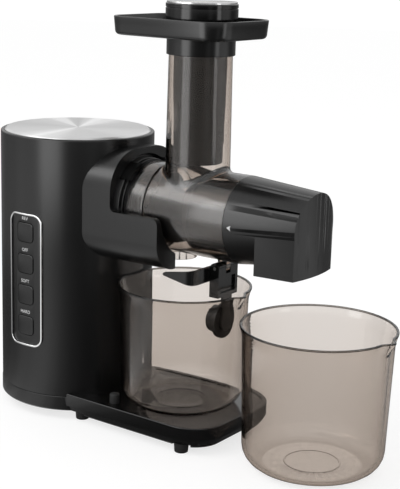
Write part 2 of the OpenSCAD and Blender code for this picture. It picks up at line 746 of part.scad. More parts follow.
module juicing_chamber() place() color([0.3, 0.28, 0.26, 0.5]) difference() {
    union() {
        along_x(collar_at) cylinder(r = ch_r + 0.6, h = collar_end - collar_at);
        along_x(collar_end - 1) cylinder(r = ch_r - 1, h = groove_w + 2);
        along_x(collar_end + groove_w) cylinder(r = ch_r, h = joint_at - collar_end - groove_w);
        along_x(joint_at - 1) cylinder(r = spig_out, h = spigot_l + 1);
        along_x(socket_at + 2) cylinder(r = spig_rear, h = 20);
        for (a = [cap_lug_a, cap_lug_a + 180]) along_x(joint_at + 3) rotate(a)
            cap_lug(cap_lug_w, spig_out + 1.1, 3);
        chute_cone(0, axis_z + 1, chute_cut);
        translate([chute_at, 0, axis_z + 22]) cylinder(r1 = chute_r0 + chute_flare, r2 = chute_r0, h = 12);
        translate([spout_axis, 0, spout_z]) cylinder(r = spout_r + spout_wall, h = axis_z - 10 - spout_z);
        translate([pin_at, lug_w / 2, pin_z]) rotate([90, 0, 0]) cylinder(r = block_t / 2, h = lug_w);
        translate([pin_at - block_t / 2, -lug_w / 2, pin_z]) cube([block_t, lug_w, 20]);
    }
    along_x(rear_wall_at + 3) cylinder(r = ch_in, h = joint_at - 2 - rear_wall_at - 3);
    along_x(rear_wall_at + 3) cylinder(r = spig_in, h = 200);
    along_x(socket_at) cylinder(r = spig_rear - 2.4, h = rear_wall_at - socket_at);
    along_x(socket_at) cylinder(r = hub_r + 5.2, h = 30);
    chute_cone(chute_wall, axis_z, chute_top);
    translate([spout_axis, 0, spout_z - 1]) cylinder(r = spout_r, h = axis_z - spout_z);
    translate([pin_at, 40, pin_z]) rotate([90, 0, 0]) cylinder(r = pin_r, h = 80);
}

// Upper part of the chamber's feed chute, above a flat joint
module feed_chute() place() color([0.3, 0.28, 0.26, 0.5]) difference() {
    chute_cone(0, chute_cut, chute_top);
    chute_cone(chute_wall, chute_cut - 1, chute_top + 1);
}

cap_lug_a = 60;
cap_lug_w = 9;
// Ring segment of a bayonet, between the axis and a radius
module cap_lug(half_a, r, h) intersection() {
    cylinder(r = r, h = h);
    translate([0, 0, -1]) linear_extrude(h + 2)
        polygon([[0, 0], [60, -60 * tan(half_a)], [60, 60 * tan(half_a)]]);
}

module shaft_seal() place() color([0.75, 0.75, 0.72]) along_x(rear_wall_at - 1) difference() {
    union() {
        cylinder(r = hub_r + 5, h = 5);
        cylinder(r = hub_r + 7, h = 1);
    }
    translate([0, 0, -1]) cylinder(r = hub_r + run_fit, h = 10);
}

module auger_coupling() place() color("silver") difference() {
    along_x(boss_x + 3) cylinder(r = hub_r, h = flight_x0 - boss_x - 3);
    along_x(boss_x) cylinder(r = hex_r + 0.15, h = 18, $fn = 6);
}

// Screw: every ring of points is turned with the flight, so its edge stays on the same points
screw_rings = 70;
screw_half = 9;       // half the flight's width at its edge, in degrees
screw_cols = concat([[-screw_half - 15, 0], [-screw_half, 1], [screw_half, 1], [screw_half + 15, 0]],
    [for (a = [45 : 22.5 : 315]) [a, 0]]);
screw_points = [for (k = [0 : screw_rings], c = screw_cols)
    let (t = k / screw_rings, a = c[0] + 360 * auger_turns * t, core = core_r0 + (core_r1 - core_r0) * t,
        r = core + (auger_r - core) * c[1])
    [flight_x0 + (flight_x1 - flight_x0) * t, r * cos(a), axis_z + r * sin(a)]];
screw_n = len(screw_cols);
screw_faces = concat([[for (j = [screw_n - 1 : -1 : 0]) j]],
    [for (k = [0 : screw_rings - 1], j = [0 : screw_n - 1], half = [0, 1]) let (a = k * screw_n + j,
        b = k * screw_n + (j + 1) % screw_n) half == 0 ? [a, b, b + screw_n] : [a, b + screw_n, a + screw_n]],
    [[for (j = [0 : screw_n - 1]) screw_rings * screw_n + j]]);

module auger() place() color([0.12, 0.12, 0.13]) polyhedron(screw_points, screw_faces);

module auger_nose() place() color("silver") {
    along_x(flight_x1) cylinder(r1 = core_r1, r2 = nose_r + 2, h = 10);
    along_x(flight_x1 + 9) cylinder(r = nose_r, h = pin_nose_x - flight_x1 - 9);
}

strainer_x0 = joint_at - 43.4;
rib_w = 2.4;
strainer_x1 = joint_at + spigot_l - 1;
strainer_out = spig_in - slide_fit;
strainer_r = auger_r + 0.4;
module strainer_frame() place() color([0.2, 0.2, 0.2]) {
    along_x(strainer_x0) tube(strainer_out, strainer_r, 4);
    along_x(strainer_x1 - 8) tube(strainer_out, strainer_r, 8);
    for (i = [0 : rib_n - 1]) along_x(strainer_x0 + 3) rotate(i * 360 / rib_n) intersection() {
        tube(strainer_out - 0.2, strainer_r + 0.7, strainer_x1 - strainer_x0 - 9);
        translate([strainer_r, 0, 50]) cube([10, rib_w, 120], center = true);
    }
}

module strainer_mesh() place() color("lightgray") along_x(strainer_x0 + 4 + eps)
    tube(strainer_r + 0.6, strainer_r + 0.1, strainer_x1 - strainer_x0 - 12 - 2 * eps);

// Round part of the end cap: a slanted taper from a rear circle to a front circle
module cap_disc(x, r, up) translate([x, 0, axis_z + up - r]) rotate([90, 0, 90])
    linear_extrude(0.1) circle(r, $fn = 48);
module cap_taper(x0, r0, r1, up1) hull() {
    cap_disc(x0, r0, r0);
    cap_disc(cap_at, r1, up1);
}
// Square part of the end cap over the pulp outlet
module cap_box(x0, down, inset) hull() {
    translate([x0, 0, axis_z - down / 2]) cube([0.1, 2 * (box_w - inset), down], center = true);
    translate([cap_at, 0, axis_z - down / 2]) cube([0.1, 2 * (cap_w - box_in - inset), down], center = true);
}
module cap_front(r) translate([cap_at - cap_bulge, 0, 0]) linear_extrude(400)
    polygon(concat([[0, -60], [r - 80, -60]], [for (a = [-20 : 2 : 20]) [r * cos(a), r * sin(a)]],
        [[r - 80, 60], [0, 60]]));
box_t = (box_at - joint_at) / (cap_at - joint_at);
box_in = 0.4;         // how far the square part lies inside the round one
box_w = ch_r + (cap_w - ch_r) * box_t - box_in;
bush_r = nose_r + 3;
bush_l = 9;

module end_cap() place() color([0.05, 0.05, 0.055]) difference() {
    union() {
        difference() {
            intersection() {
                union() {
                    cap_taper(joint_at + seam, ch_r, cap_w, cap_up);
                    cap_box(box_at, cap_down, 0);
                }
                cap_front(cap_bulge);
            }
            intersection() {
                union() {
                    cap_taper(joint_at + spigot_l + 1.5, spig_out - 1.2, cap_w - cap_wall, cap_up - cap_wall);
                    cap_box(box_at + cap_wall, cap_down + 1, cap_wall);
                }
                cap_front(cap_bulge - cap_wall);
            }
        }
        along_x(pin_nose_x - bush_l - 1) cylinder(r = bush_r + 2.5, h = cap_at - pin_nose_x + bush_l - 0.2);
    }
    along_x(joint_at - 1) cylinder(r = spig_out + slide_fit / 2, h = spigot_l + 3);
    along_x(pin_nose_x - bush_l - 2) cylinder(r = bush_r, h = bush_l + 2);
    // bayonet groove and its two entries
    along_x(joint_at + 2.7) cylinder(r = spig_out + 1.3, h = 3.8);
    for (a = [cap_lug_a, cap_lug_a + 180]) along_x(joint_at - 1) rotate(a - cap_twist)
        cap_lug(cap_lug_w + 1, spig_out + 1.2, 5);
}

module cap_seal() place() color([0.8, 0.8, 0.78])
    along_x(joint_at + spigot_l + 0.2) tube(spig_out - 0.1, spig_in + 0.2, 1.6);

module auger_bush() place() color("ivory") along_x(pin_nose_x - bush_l)
    tube(bush_r - 0.02, nose_r + run_fit, bush_l - 0.2);

block_x0 = pin_at - block_t / 2;
block_z0 = pin_z - block_h;
plug_z = pin_z - plug_arm;
wing_y = ch_r + 1.2;
wing_t = 3;
wing_z0 = pin_z - 11;
wing_z1 = pin_z + 1.5;
wing_x1 = block_x0 - 1.5 + wing_t;
wing_bend = 9;

// Plan of the lever's bent strip, from the corner that its two outer faces would meet in
module wing_plan() {
    translate([-wing_t, wing_bend - eps]) square([wing_t, wing_y + wing_t - wing_bend - block_w / 2 + 2]);
    translate([-tab_l, 0]) square([tab_l - wing_bend + eps, wing_t]);
    translate([-wing_bend, wing_bend]) intersection() {
        difference() {
            circle(wing_bend);
            circle(wing_bend - wing_t);
        }
        translate([0, -wing_bend]) square(wing_bend);
    }
}

module stopper_lever() place() color([0.03, 0.03, 0.035]) difference() {
    union() {
        translate([block_x0, -block_w / 2, block_z0]) cube([block_t, block_w, block_h]);
        translate([pin_at, block_w / 2, pin_z]) rotate([90, 0, 0]) cylinder(r = block_t / 2, h = block_w);
        // cross piece to the near side, which bends into the thumb tab
        translate([wing_x1, -wing_y - wing_t, 0]) intersection() {
            translate([0, 0, wing_z0]) linear_extrude(wing_z1 - wing_z0) wing_plan();
            translate([0, 60, 0]) rotate([90, 0, 0]) linear_extrude(80)
                polygon([[1, wing_z0], [1, wing_z1], [-wing_t, wing_z1], [1 - tab_l, wing_z0 + 7.5],
                    [-tab_l, wing_z0 + 6.4], [-tab_l, wing_z0 + 5.6], [1 - tab_l, wing_z0 + 4.8],
                    [-wing_t, wing_z0]]);
        }
        // plate that carries the plug
        translate([block_x0 + block_t - stem_t, -6.5, plug_z]) cube([stem_t, 13, block_z0 - plug_z + 1]);
        translate([block_x0 + block_t - stem_t, 0, plug_z]) rotate([0, 90, 0]) cylinder(r = 9, h = stem_t);
        translate([block_x0 + block_t - stem_t - 6, 0, plug_z]) rotate([0, 90, 0]) cylinder(r = 4, h = 6.1);
    }
    // slot for the chamber's lug
    translate([block_x0 - 5, -lug_w / 2 - slide_fit, pin_z - block_t / 2 - 0.6])
        cube([block_t + 10, lug_w + 2 * slide_fit, 20]);
    // shallow pocket in the front of the block
    translate([block_x0 + block_t - 2, -block_w / 2 + 3.5, block_z0 + 3.5]) cube([5, block_w - 7, 14]);
    translate([pin_at, 40, pin_z]) rotate([90, 0, 0]) cylinder(r = pin_r + run_fit, h = 80);
}

module lever_pin() place() color("silver") translate([pin_at, block_w / 2 - 0.5, pin_z])
    rotate([90, 0, 0]) cylinder(r = pin_r, h = block_w - 1);

module stopper_plug() place() color([0.35, 0.35, 0.35])
    translate([block_x0 + block_t - stem_t - eps, 0, plug_z]) rotate([0, -90, 0]) difference() {
        union() {
            cylinder(r = flange_r, h = plug_t);
            cylinder(r = plug_r, h = plug_t + plug_l / 3);
            translate([0, 0, plug_t + plug_l / 3 - eps])
                cylinder(r1 = plug_r, r2 = plug_r - 1.2, h = plug_l * 2 / 3);
        }
        translate([0, 0, -1]) cylinder(r = 4.02, h = 7.1);
    }

tray_x = chute_at - tray_shift;
floor_z = tray_z + tray_wall;
collar_r = chute_r1 + slide_fit + collar_wall;
stem_r0 = chute_r1 - chute_wall - stem_gap;
stem_r1 = stem_r0 - stem_taper;

module hopper_tray() place() color([0.06, 0.06, 0.06]) difference() {
    union() {
        hull() {
            translate([tray_x, 0, tray_z + tray_h - 1]) linear_extrude(1) rrect(tray_l, tray_w, tray_r);
            translate([tray_x, 0, tray_z + 2]) linear_extrude(1) rrect(tray_l - 3, tray_w - 3, tray_r - 1);
            translate([tray_x, 0, tray_z]) linear_extrude(1) rrect(tray_l - 7, tray_w - 7, tray_r - 3);
        }
        translate([chute_at, 0, tray_z - collar_l]) cylinder(r = collar_r, h = collar_l + 1);
    }
    hull() {
        translate([tray_x, 0, tray_z + tray_h]) linear_extrude(1)
            rrect(tray_l - 2 * tray_wall, tray_w - 2 * tray_wall, tray_r - tray_wall);
        translate([tray_x, 0, floor_z]) linear_extrude(1)
            rrect(tray_l - 5 - 2 * tray_wall, tray_w - 5 - 2 * tray_wall, tray_r - 2 - tray_wall);
    }
    translate([chute_at, 0, tray_z - collar_l - 1]) cylinder(r = chute_r1 + slide_fit, h = collar_l + 1);
    translate([chute_at, 0, tray_z - 2]) cylinder(r = chute_r1 - chute_wall, h = 20);
}

pusher_wall = 2.4;
pusher_floor = 3;
head_groove = 4.2;    // depth of the groove around the head below its top

module pusher() place() color([0.05, 0.05, 0.05]) translate([chute_at, 0, floor_z - stem_l]) difference() {
    cylinder(r1 = stem_r1, r2 = stem_r0, h = stem_l);
    translate([0, 0, pusher_floor])
        cylinder(r1 = stem_r1 - pusher_wall, r2 = stem_r0 - pusher_wall, h = stem_l);
}

module pusher_head() place() color([0.05, 0.05, 0.05]) translate([chute_at, 0, floor_z]) difference() {
    union() {
        cylinder(r = head_r, h = head_h - 1);
        translate([0, 0, head_h - 1 - eps]) cylinder(r1 = head_r, r2 = head_r - 0.8, h = 1 + eps);
    }
    translate([0, 0, head_h - head_groove]) tube(head_r + 1, head_r - 0.7, 0.9);
    translate([0, 0, pusher_floor]) cylinder(r = head_r - pusher_wall - 0.7, h = head_h - 2 * pusher_floor);
    translate([0, 0, -1]) cylinder(r = stem_r0 - pusher_wall - 1, h = pusher_floor + 2);
}

module pusher_cap() place() color("silver") translate([chute_at, 0, floor_z + head_h]) {
    cylinder(r = head_r - 0.9, h = steel_t - 0.5);
    translate([0, 0, steel_t - 0.5]) cylinder(r1 = head_r - 0.9, r2 = head_r - 1.4, h = 0.5);
}

spout_floor = 3.2;    // step from the outside to the inside of a cup's spout at its foot
spout_skin = 1.1;     // wall of a cup's spout
ring_out = 24;        // raised ring moulded inside the cups' bottoms
ring_wall = 1.5;
ring_h = 0.4;
nest_t = 2;           // wall of the juice cup in the dent of its rim
// Half section of a cup's outside, or of its inside drawn in by a wall
function cup_half(h, rim, r1, r0, w, top) = concat(
    [[0, w], [r0 - cup_corner, w]],
    [for (a = [-75 : 15 : 0]) [r0 - cup_corner, cup_corner] + (cup_corner - w) * [cos(a), sin(a)]],
    [for (t = [0 : 0.2 : 1]) [r1 - w + (rim - (w > 0 ? lip_t - w : 0) - r1) * t * t,
        h - flare_h + (flare_h - 1.4) * t]],
    [[rim - (w > 0 ? lip_t : 0), top], [0, top]]);

// Cup with a spout that leans out of its rim towards +X, and a dent for a round body behind it
module cup(h, rim, r1, r0, nest_x, nest_r) {
    spout_at = rim + spout_out - spout_w;
    difference() {
        union() {
            rotate_extrude($fn = 128) polygon(cup_half(h, rim, r1, r0, 0, h));
            translate([spout_at, 0, h - pour_h]) cylinder(r1 = 1.5, r2 = spout_w, h = pour_h);
        }
        translate([nest_x, 0, h - flare_h - 1]) cylinder(r = nest_r, h = flare_h + 2);
        difference() {
            rotate_extrude($fn = 128) polygon(cup_half(h, rim, r1, r0, cup_wall, h + 1));
            translate([nest_x, 0, h - flare_h - 1]) cylinder(r = nest_r + nest_t, h = flare_h + 4);
        }
        translate([spout_at, 0, h - pour_h + spout_floor])
            cylinder(r1 = 1.5, r2 = spout_w - spout_skin, h = pour_h - spout_floor + 1);
    }
    translate([0, 0, cup_wall - eps]) tube(ring_out, ring_out - ring_wall, ring_h);
}

module juice_cup() place() color([0.4, 0.38, 0.36, 0.4]) translate([cup_at, 0, cup_z])
    cup(cup_h, cup_rim, cup_r1, cup_r0, -cup_at, body_r + nest_gap);

module pulp_cup() place() color([0.4, 0.38, 0.36, 0.4]) translate([pulp_at, 0, 0])
    cup(pulp_h, pulp_rim, pulp_r1, pulp_r0, -pulp_at, body_r);

motor_housing();
top_disc();
base_plank();
bottom_plate();
feet();
cup_stop();
plate_screws();
control_panel();
panel_frame();
button_rev();
button_off();
button_soft();
button_hard();
control_board();
power_board();
cord_gland();
arm_housing();
socket_ring();
motor_can();
motor_end_bell();
motor_magnets();
motor_armature();
motor_fan();
motor_bearings();
motor_pinion();
gearbox_case();
gearbox_cover();
gearbox_screws();
idler_shaft();
idler_gear();
idler_pinion();
output_gear();
output_shaft();
output_bearings();
shaft_seal();
lock_ring();
juicing_chamber();
feed_chute();
auger_coupling();
auger();
auger_nose();
strainer_frame();
strainer_mesh();
end_cap();
cap_seal();
auger_bush();
stopper_lever();
stopper_plug();
lever_pin();
hopper_tray();
pusher();
pusher_head();
pusher_cap();
juice_cup();
pulp_cup();
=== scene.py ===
"""Cold press juicer: motor column with its arm, juicing drum, hopper, lever and two cups.

Every sub-assembly is a class. Its sizes are dataclass fields in millimetres, counted from the column's
axis and the table, and its build method makes the meshes, dresses them and hands them to the frame.
"""

import json
import logging
import math
from collections.abc import Callable, Iterable, Sequence
from dataclasses import dataclass
from enum import Enum

import bmesh
import bpy
from mathutils import Matrix, Vector

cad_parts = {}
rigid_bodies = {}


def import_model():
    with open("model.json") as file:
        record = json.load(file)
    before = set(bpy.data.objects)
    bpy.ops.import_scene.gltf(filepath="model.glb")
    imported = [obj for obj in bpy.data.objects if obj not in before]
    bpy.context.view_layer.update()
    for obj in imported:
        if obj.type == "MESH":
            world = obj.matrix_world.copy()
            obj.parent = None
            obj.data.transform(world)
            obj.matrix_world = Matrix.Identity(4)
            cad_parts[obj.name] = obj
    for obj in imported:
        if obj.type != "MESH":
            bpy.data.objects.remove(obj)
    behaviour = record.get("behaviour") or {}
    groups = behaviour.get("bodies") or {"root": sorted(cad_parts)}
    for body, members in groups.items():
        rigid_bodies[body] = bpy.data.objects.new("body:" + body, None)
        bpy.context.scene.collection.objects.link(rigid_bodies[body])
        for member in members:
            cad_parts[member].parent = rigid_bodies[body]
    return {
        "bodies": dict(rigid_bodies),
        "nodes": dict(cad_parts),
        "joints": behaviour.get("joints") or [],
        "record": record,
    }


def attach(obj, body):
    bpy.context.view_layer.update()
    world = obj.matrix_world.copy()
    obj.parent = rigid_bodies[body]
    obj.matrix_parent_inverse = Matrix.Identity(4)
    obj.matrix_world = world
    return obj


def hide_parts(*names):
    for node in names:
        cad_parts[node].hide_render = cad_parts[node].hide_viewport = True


LOG = logging.getLogger("juicer")
WELD = 0.0004
Corner = tuple[float, float, float]
Point = tuple[float, float]


class Axis(Enum):
    """Direction that a turned shape's own height runs in."""

    UP = Matrix.Identity(4)
    ALONG = Matrix.Rotation(math.pi / 2, 4, "Y")
    ACROSS = Matrix.Rotation(-math.pi / 2, 4, "X")


class Plane(Enum):
    """Plane that a flat outline is drawn in, and so the way that it is thickened."""

    TOP = Matrix(((1, 0, 0, 0), (0, 1, 0, 0), (0, 0, 1, 0), (0, 0, 0, 1)))
    SIDE = Matrix(((1, 0, 0, 0), (0, 0, 1, 0), (0, 1, 0, 0), (0, 0, 0, 1)))
    END = Matrix(((0, 0, 1, 0), (1, 0, 0, 0), (0, 1, 0, 0), (0, 0, 0, 1)))


class Cut(Enum):
    """Ways of joining two closed solids."""

    ADD = "UNION"
    TAKE = "DIFFERENCE"
    KEEP = "INTERSECT"


class Body(Enum):
    """Moving bodies of the juicer that pieces ride on."""

    FRAME = "frame"
    REV = "rev_button"
    OFF = "off_button"
    SOFT = "soft_button"
    HARD = "hard_button"
    OUTPUT = "output"
    CAP = "cap"
    STOPPER = "stopper"
    TRAY = "tray"
    PUSHER = "pusher"
    JUICE_CUP = "juice_cup"
    PULP_CUP = "pulp_cup"


@dataclass(frozen=True)
class Layout:
    """Places that the sub-assemblies share, in millimetres from the column's axis."""

    body_r: float = 70.0
    axis_z: float = 198.7
    chute_x: float = 136.0
    joint_x: float = 189.4
    shift_x: float = -131.65

    def to_frame(self) -> Matrix:
        """Matrix from the drawing's millimetres to metres in the shared frame."""
        return Matrix.Scale(0.001, 4) @ Matrix.Translation((self.shift_x, 0, 0))


LAYOUT = Layout()


def rounded(corners: Sequence[Corner], closed: bool = True, steps: int = 5) -> list[Point]:
    """Turns the corners of a flat outline into arcs.

    Args:
        corners: Points of the outline, each with the radius of its arc, or 0 for a sharp one.
        closed: Whether the last point joins the first.
        steps: Edges in each arc.

    Returns:
        The points of the rounded outline.
    """
    points: list[Point] = []
    for i, (u, v, radius) in enumerate(corners):
        at_end = not closed and i in (0, len(corners) - 1)
        if radius <= 0 or at_end:
            points.append((u, v))
            continue
        here = Vector((u, v))
        back = Vector(corners[i - 1][:2]) - here
        ahead = Vector(corners[(i + 1) % len(corners)][:2]) - here
        half = back.angle(ahead) / 2
        reach = min(radius / math.tan(half), back.length * 0.49, ahead.length * 0.49)
        radius = reach * math.tan(half)
        back.normalize()
        ahead.normalize()
        centre = here + (back + ahead).normalized() * radius / math.sin(half)
        start = here + back * reach - centre
        end = here + ahead * reach - centre
        turn = start.angle(end)
        for k in range(steps + 1):
            t = k / steps
            spoke = (start * math.sin((1 - t) * turn) + end * math.sin(t * turn)) / math.sin(turn)
            points.append(tuple(centre + spoke))
    return points


def smooth(t: float) -> float:
    """Eases a share from 0 to 1 with flat ends."""
    t = min(1.0, max(0.0, t))
    return t * t * (3 - 2 * t)


class Shape:
    """A mesh under construction, in the drawing's millimetres."""

    def __init__(self) -> None:
        """Starts an empty mesh."""
        self.bm = bmesh.new()

    def _take(self, part: bmesh.types.BMesh, place: Matrix) -> "Shape":
        """Adds a finished closed part to the shape, with its faces outward."""
        bmesh.ops.transform(part, matrix=place, verts=part.verts)
        bmesh.ops.recalc_face_normals(part, faces=part.faces)
        mesh = bpy.data.meshes.new("part")
        part.to_mesh(mesh)
        part.free()
        self.bm.from_mesh(mesh)
        bpy.data.meshes.remove(mesh)
        return self

    def lathe(
        self,
        outline: Sequence[Point],
        axis: Axis = Axis.UP,
        centre: tuple[float, float, float] = (0, 0, 0),
        steps: int = 96,
        shape: Callable[[Vector], Vector] | None = None,
    ) -> "Shape":
        """Spins an outline into a closed turned solid.

        Args:
            outline: Radius and height pairs. The ends are joined unless both lie on the axis.
            axis: Direction of the turned height.
            centre: Point of the drawing that the spun axis passes through.
            steps: Faces around a full turn.
            shape: Moves each point, in the turned solid's own frame, before it is placed.
        """
        part = bmesh.new()
        verts = [part.verts.new((u, 0, v)) for u, v in outline]
        pairs = list(zip(verts, verts[1:]))
        if outline[0][0] > 0 or outline[-1][0] > 0:
            pairs.append((verts[-1], verts[0]))
        edges = [part.edges.new(pair) for pair in pairs]
        bmesh.ops.spin(
            part, geom=verts + edges, cent=(0, 0, 0), axis=(0, 0, 1), angle=2 * math.pi,
            steps=steps, use_merge=True, use_duplicate=False,
        )
        bmesh.ops.remove_doubles(part, verts=part.verts, dist=WELD)
        if shape:
            for vert in part.verts:
                vert.co = shape(vert.co)
        return self._take(part, Matrix.Translation(centre) @ axis.value)

    def slab(
        self,
        size: Point,
        corner: float | Sequence[float],
        span: Point,
        plane: Plane = Plane.TOP,
        centre: Point = (0, 0),
        steps: int = 8,
        levels: Sequence[tuple[float, float]] = (),
    ) -> "Shape":
        """Makes a rounded rectangular block.

        Args:
            size: Width and height of the rectangle.
            corner: Radius of its corners, or one for each, from the low left corner around.
            span: Where the block starts and ends across the plane.
            plane: Plane that the rectangle lies in.
            centre: Middle of the rectangle.
            steps: Edges in each corner's arc.
            levels: Further steps from the end: how far each is drawn in, and where it ends.
        """
        part = bmesh.new()
        signs = ((-1, -1), (1, -1), (1, 1), (-1, 1))
        radii = [corner] * 4 if isinstance(corner, (int, float)) else list(corner)
        verts = [
            part.verts.new((centre[0] + a * size[0] / 2, centre[1] + b * size[1] / 2, span[0]))
            for a, b in signs
        ]
        part.faces.new(verts)
        for vert, radius in zip(verts, radii):
            if radius > 0:
                bmesh.ops.bevel(
                    part, geom=[vert], offset=radius, segments=steps, profile=0.5,
                    affect="VERTICES", material=-1,
                )
        top = self._raise(part, part.faces[:], span[1] - span[0])
        height = span[1]
        for inset, end in levels:
            bmesh.ops.inset_region(part, faces=top, thickness=inset, use_even_offset=True)
            bmesh.ops.translate(
                part, vec=(0, 0, end - height), verts=list({v for f in top for v in f.verts})
            )
            height = end
        return self._take(part, plane.value)

    @staticmethod
    def _raise(
        part: bmesh.types.BMesh, faces: list[bmesh.types.BMFace], rise: float
    ) -> list[bmesh.types.BMFace]:
        """Extrudes flat faces and returns the raised ones."""
        made = bmesh.ops.extrude_face_region(part, geom=faces)["geom"]
        raised = [item for item in made if isinstance(item, bmesh.types.BMFace)]
        bmesh.ops.translate(
            part, vec=(0, 0, rise), verts=[i for i in made if isinstance(i, bmesh.types.BMVert)]
        )
        return raised

    def prism(self, outline: Sequence[Point], span: Point, plane: Plane = Plane.TOP) -> "Shape":
        """Makes a block from a flat outline.

        Args:
            outline: Points of the outline.
            span: Where the block starts and ends across the plane.
            plane: Plane that the outline lies in.
        """
        part = bmesh.new()
        part.faces.new([part.verts.new((u, v, span[0])) for u, v in outline])
        self._raise(part, part.faces[:], span[1] - span[0])
        return self._take(part, plane.value)

    def loft(self, rings: Sequence[tuple[Sequence[Point], float]], plane: Plane = Plane.END) -> "Shape":
        """Bridges outlines of equal point counts that stand one behind the other.

        Args:
            rings: Outlines, each with its place across their plane.
            plane: Plane that the outlines lie in.
        """
        part = bmesh.new()
        loops = []
        for outline, place in rings:
            verts = [part.verts.new((u, v, place)) for u, v in outline]
            loops.append([part.edges.new(p) for p in zip(verts, verts[1:] + verts[:1])])
        for first, second in zip(loops, loops[1:]):
            bmesh.ops.bridge_loops(part, edges=first + second)
        bmesh.ops.holes_fill(part, edges=loops[0] + loops[-1], sides=0)
        return self._take(part, plane.value)

    def bevel(self, width: float, angle: float = 50, segments: int = 2, where: Callable | None = None) -> "Shape":
        """Rounds the edges that turn by more than an angle.

        Args:
            width: Width of the rounding.
            angle: Smallest turn of the faces, in degrees.
            segments: Faces across the rounding.
            where: Picks edges by their middle point.
        """
        edges = [
            e for e in self.bm.edges
            if len(e.link_faces) == 2
            and e.calc_face_angle() > math.radians(angle)
            and (where is None or where((e.verts[0].co + e.verts[1].co) / 2))
        ]
        bmesh.ops.bevel(
            self.bm, geom=edges, offset=width, segments=segments, profile=0.5, affect="EDGES",
            material=-1, clamp_overlap=True,
        )
        return self

    def wrap(self, radius: float, half: float, pitch: float = 1.6) -> "Shape":
        """Bends a flat shape that faces -Y around the column.

        Args:
            radius: Radius that the shape's plane y = 0 is bent to.
            half: Half of the shape's width.
            pitch: Largest distance between two bends.
        """
        count = math.ceil(2 * half / pitch)
        for i in range(1, count):
            everything = self.bm.verts[:] + self.bm.edges[:] + self.bm.faces[:]
            bmesh.ops.bisect_plane(
                self.bm, geom=everything, plane_co=(-half + 2 * half * i / count, 0, 0),
                plane_no=(1, 0, 0), dist=1e-4,
            )
        for vert in self.bm.verts:
            vert.co.y = -math.sqrt((radius - vert.co.y) ** 2 - vert.co.x**2)
        return self

    def object(self, name: str) -> bpy.types.Object:
        """Ends the mesh and links it to the scene as an object."""
        mesh = bpy.data.meshes.new(name)
        self.bm.to_mesh(mesh)
        self.bm.free()
        made = bpy.data.objects.new(name, mesh)
        bpy.context.scene.collection.objects.link(made)
        return made


def carve(target: bpy.types.Object, cutter: Shape, way: Cut) -> bpy.types.Object:
    """Joins a cutter solid to an object's mesh for good.

    Args:
        target: Object whose mesh changes.
        cutter: Solid that is added, taken away or kept.
        way: How the two are joined.

    Returns:
        The changed object.
    """
    tool = cutter.object("cutter")
    step = target.modifiers.new("cut", "BOOLEAN")
    step.operation = way.value
    step.object = tool
    step.solver = "EXACT"
    graph = bpy.context.evaluated_depsgraph_get()
    old = target.data
    target.data = bpy.data.meshes.new_from_object(target.evaluated_get(graph))
    target.modifiers.clear()
    bpy.data.meshes.remove(old)
    blade = tool.data
    bpy.data.objects.remove(tool)
    bpy.data.meshes.remove(blade)
    return target


# --- finishes ---------------------------------------------------------------------------------


def node_group(name: str, inputs: dict[str, object], outputs: dict[str, str]) -> bpy.types.NodeTree:
    """Makes an empty shader group with named sockets.

    Args:
        name: Name of the group.
        inputs: Socket names with their defaults: a number, a colour of 4 or a vector of 3.
        outputs: Socket names with their kinds.

    Returns:
        The group, with its input and output nodes in place.
    """
    tree = bpy.data.node_groups.new(name, "ShaderNodeTree")
    for label, default in inputs.items():
        kind = "NodeSocketFloat"
        if isinstance(default, tuple):
            kind = "NodeSocketColor" if len(default) == 4 else "NodeSocketVector"
        socket = tree.interface.new_socket(name=label, in_out="INPUT", socket_type=kind)
        socket.default_value = default
    for label, kind in outputs.items():
        tree.interface.new_socket(name=label, in_out="OUTPUT", socket_type=kind)
    tree.nodes.new("NodeGroupInput")
    tree.nodes.new("NodeGroupOutput")
    return tree


class Wiring:
    """Adds and joins the nodes of one tree."""

    def __init__(self, tree: bpy.types.NodeTree) -> None:
        """Keeps the tree that the nodes go into."""
        self.tree = tree

    def add(self, kind: str, links: dict | None = None, **settings: object) -> bpy.types.Node:
        """Adds a node.

        Args:
            kind: Blender's name for the node, without its ShaderNode prefix.
            links: Input names or numbers, each with an output socket or a value.
            **settings: Properties of the node.

        Returns:
            The new node.
        """
        node = self.tree.nodes.new("ShaderNode" + kind)
        for key, value in settings.items():
            setattr(node, key, value)
        for key, value in (links or {}).items():
            if isinstance(value, bpy.types.NodeSocket):
                self.tree.links.new(value, node.inputs[key])
            else:
                node.inputs[key].default_value = value
        return node

    def math(self, way: str, first: object, second: object = 0.0) -> bpy.types.NodeSocket:
        """Adds a Math node on two values and returns its result."""
        return self.add("Math", {0: first, 1: second}, operation=way).outputs[0]

    def ends(self) -> tuple[bpy.types.Node, bpy.types.Node]:
        """The group's own input and output nodes."""
        kinds = {node.bl_idname: node for node in self.tree.nodes}
        return kinds["NodeGroupInput"], kinds["NodeGroupOutput"]


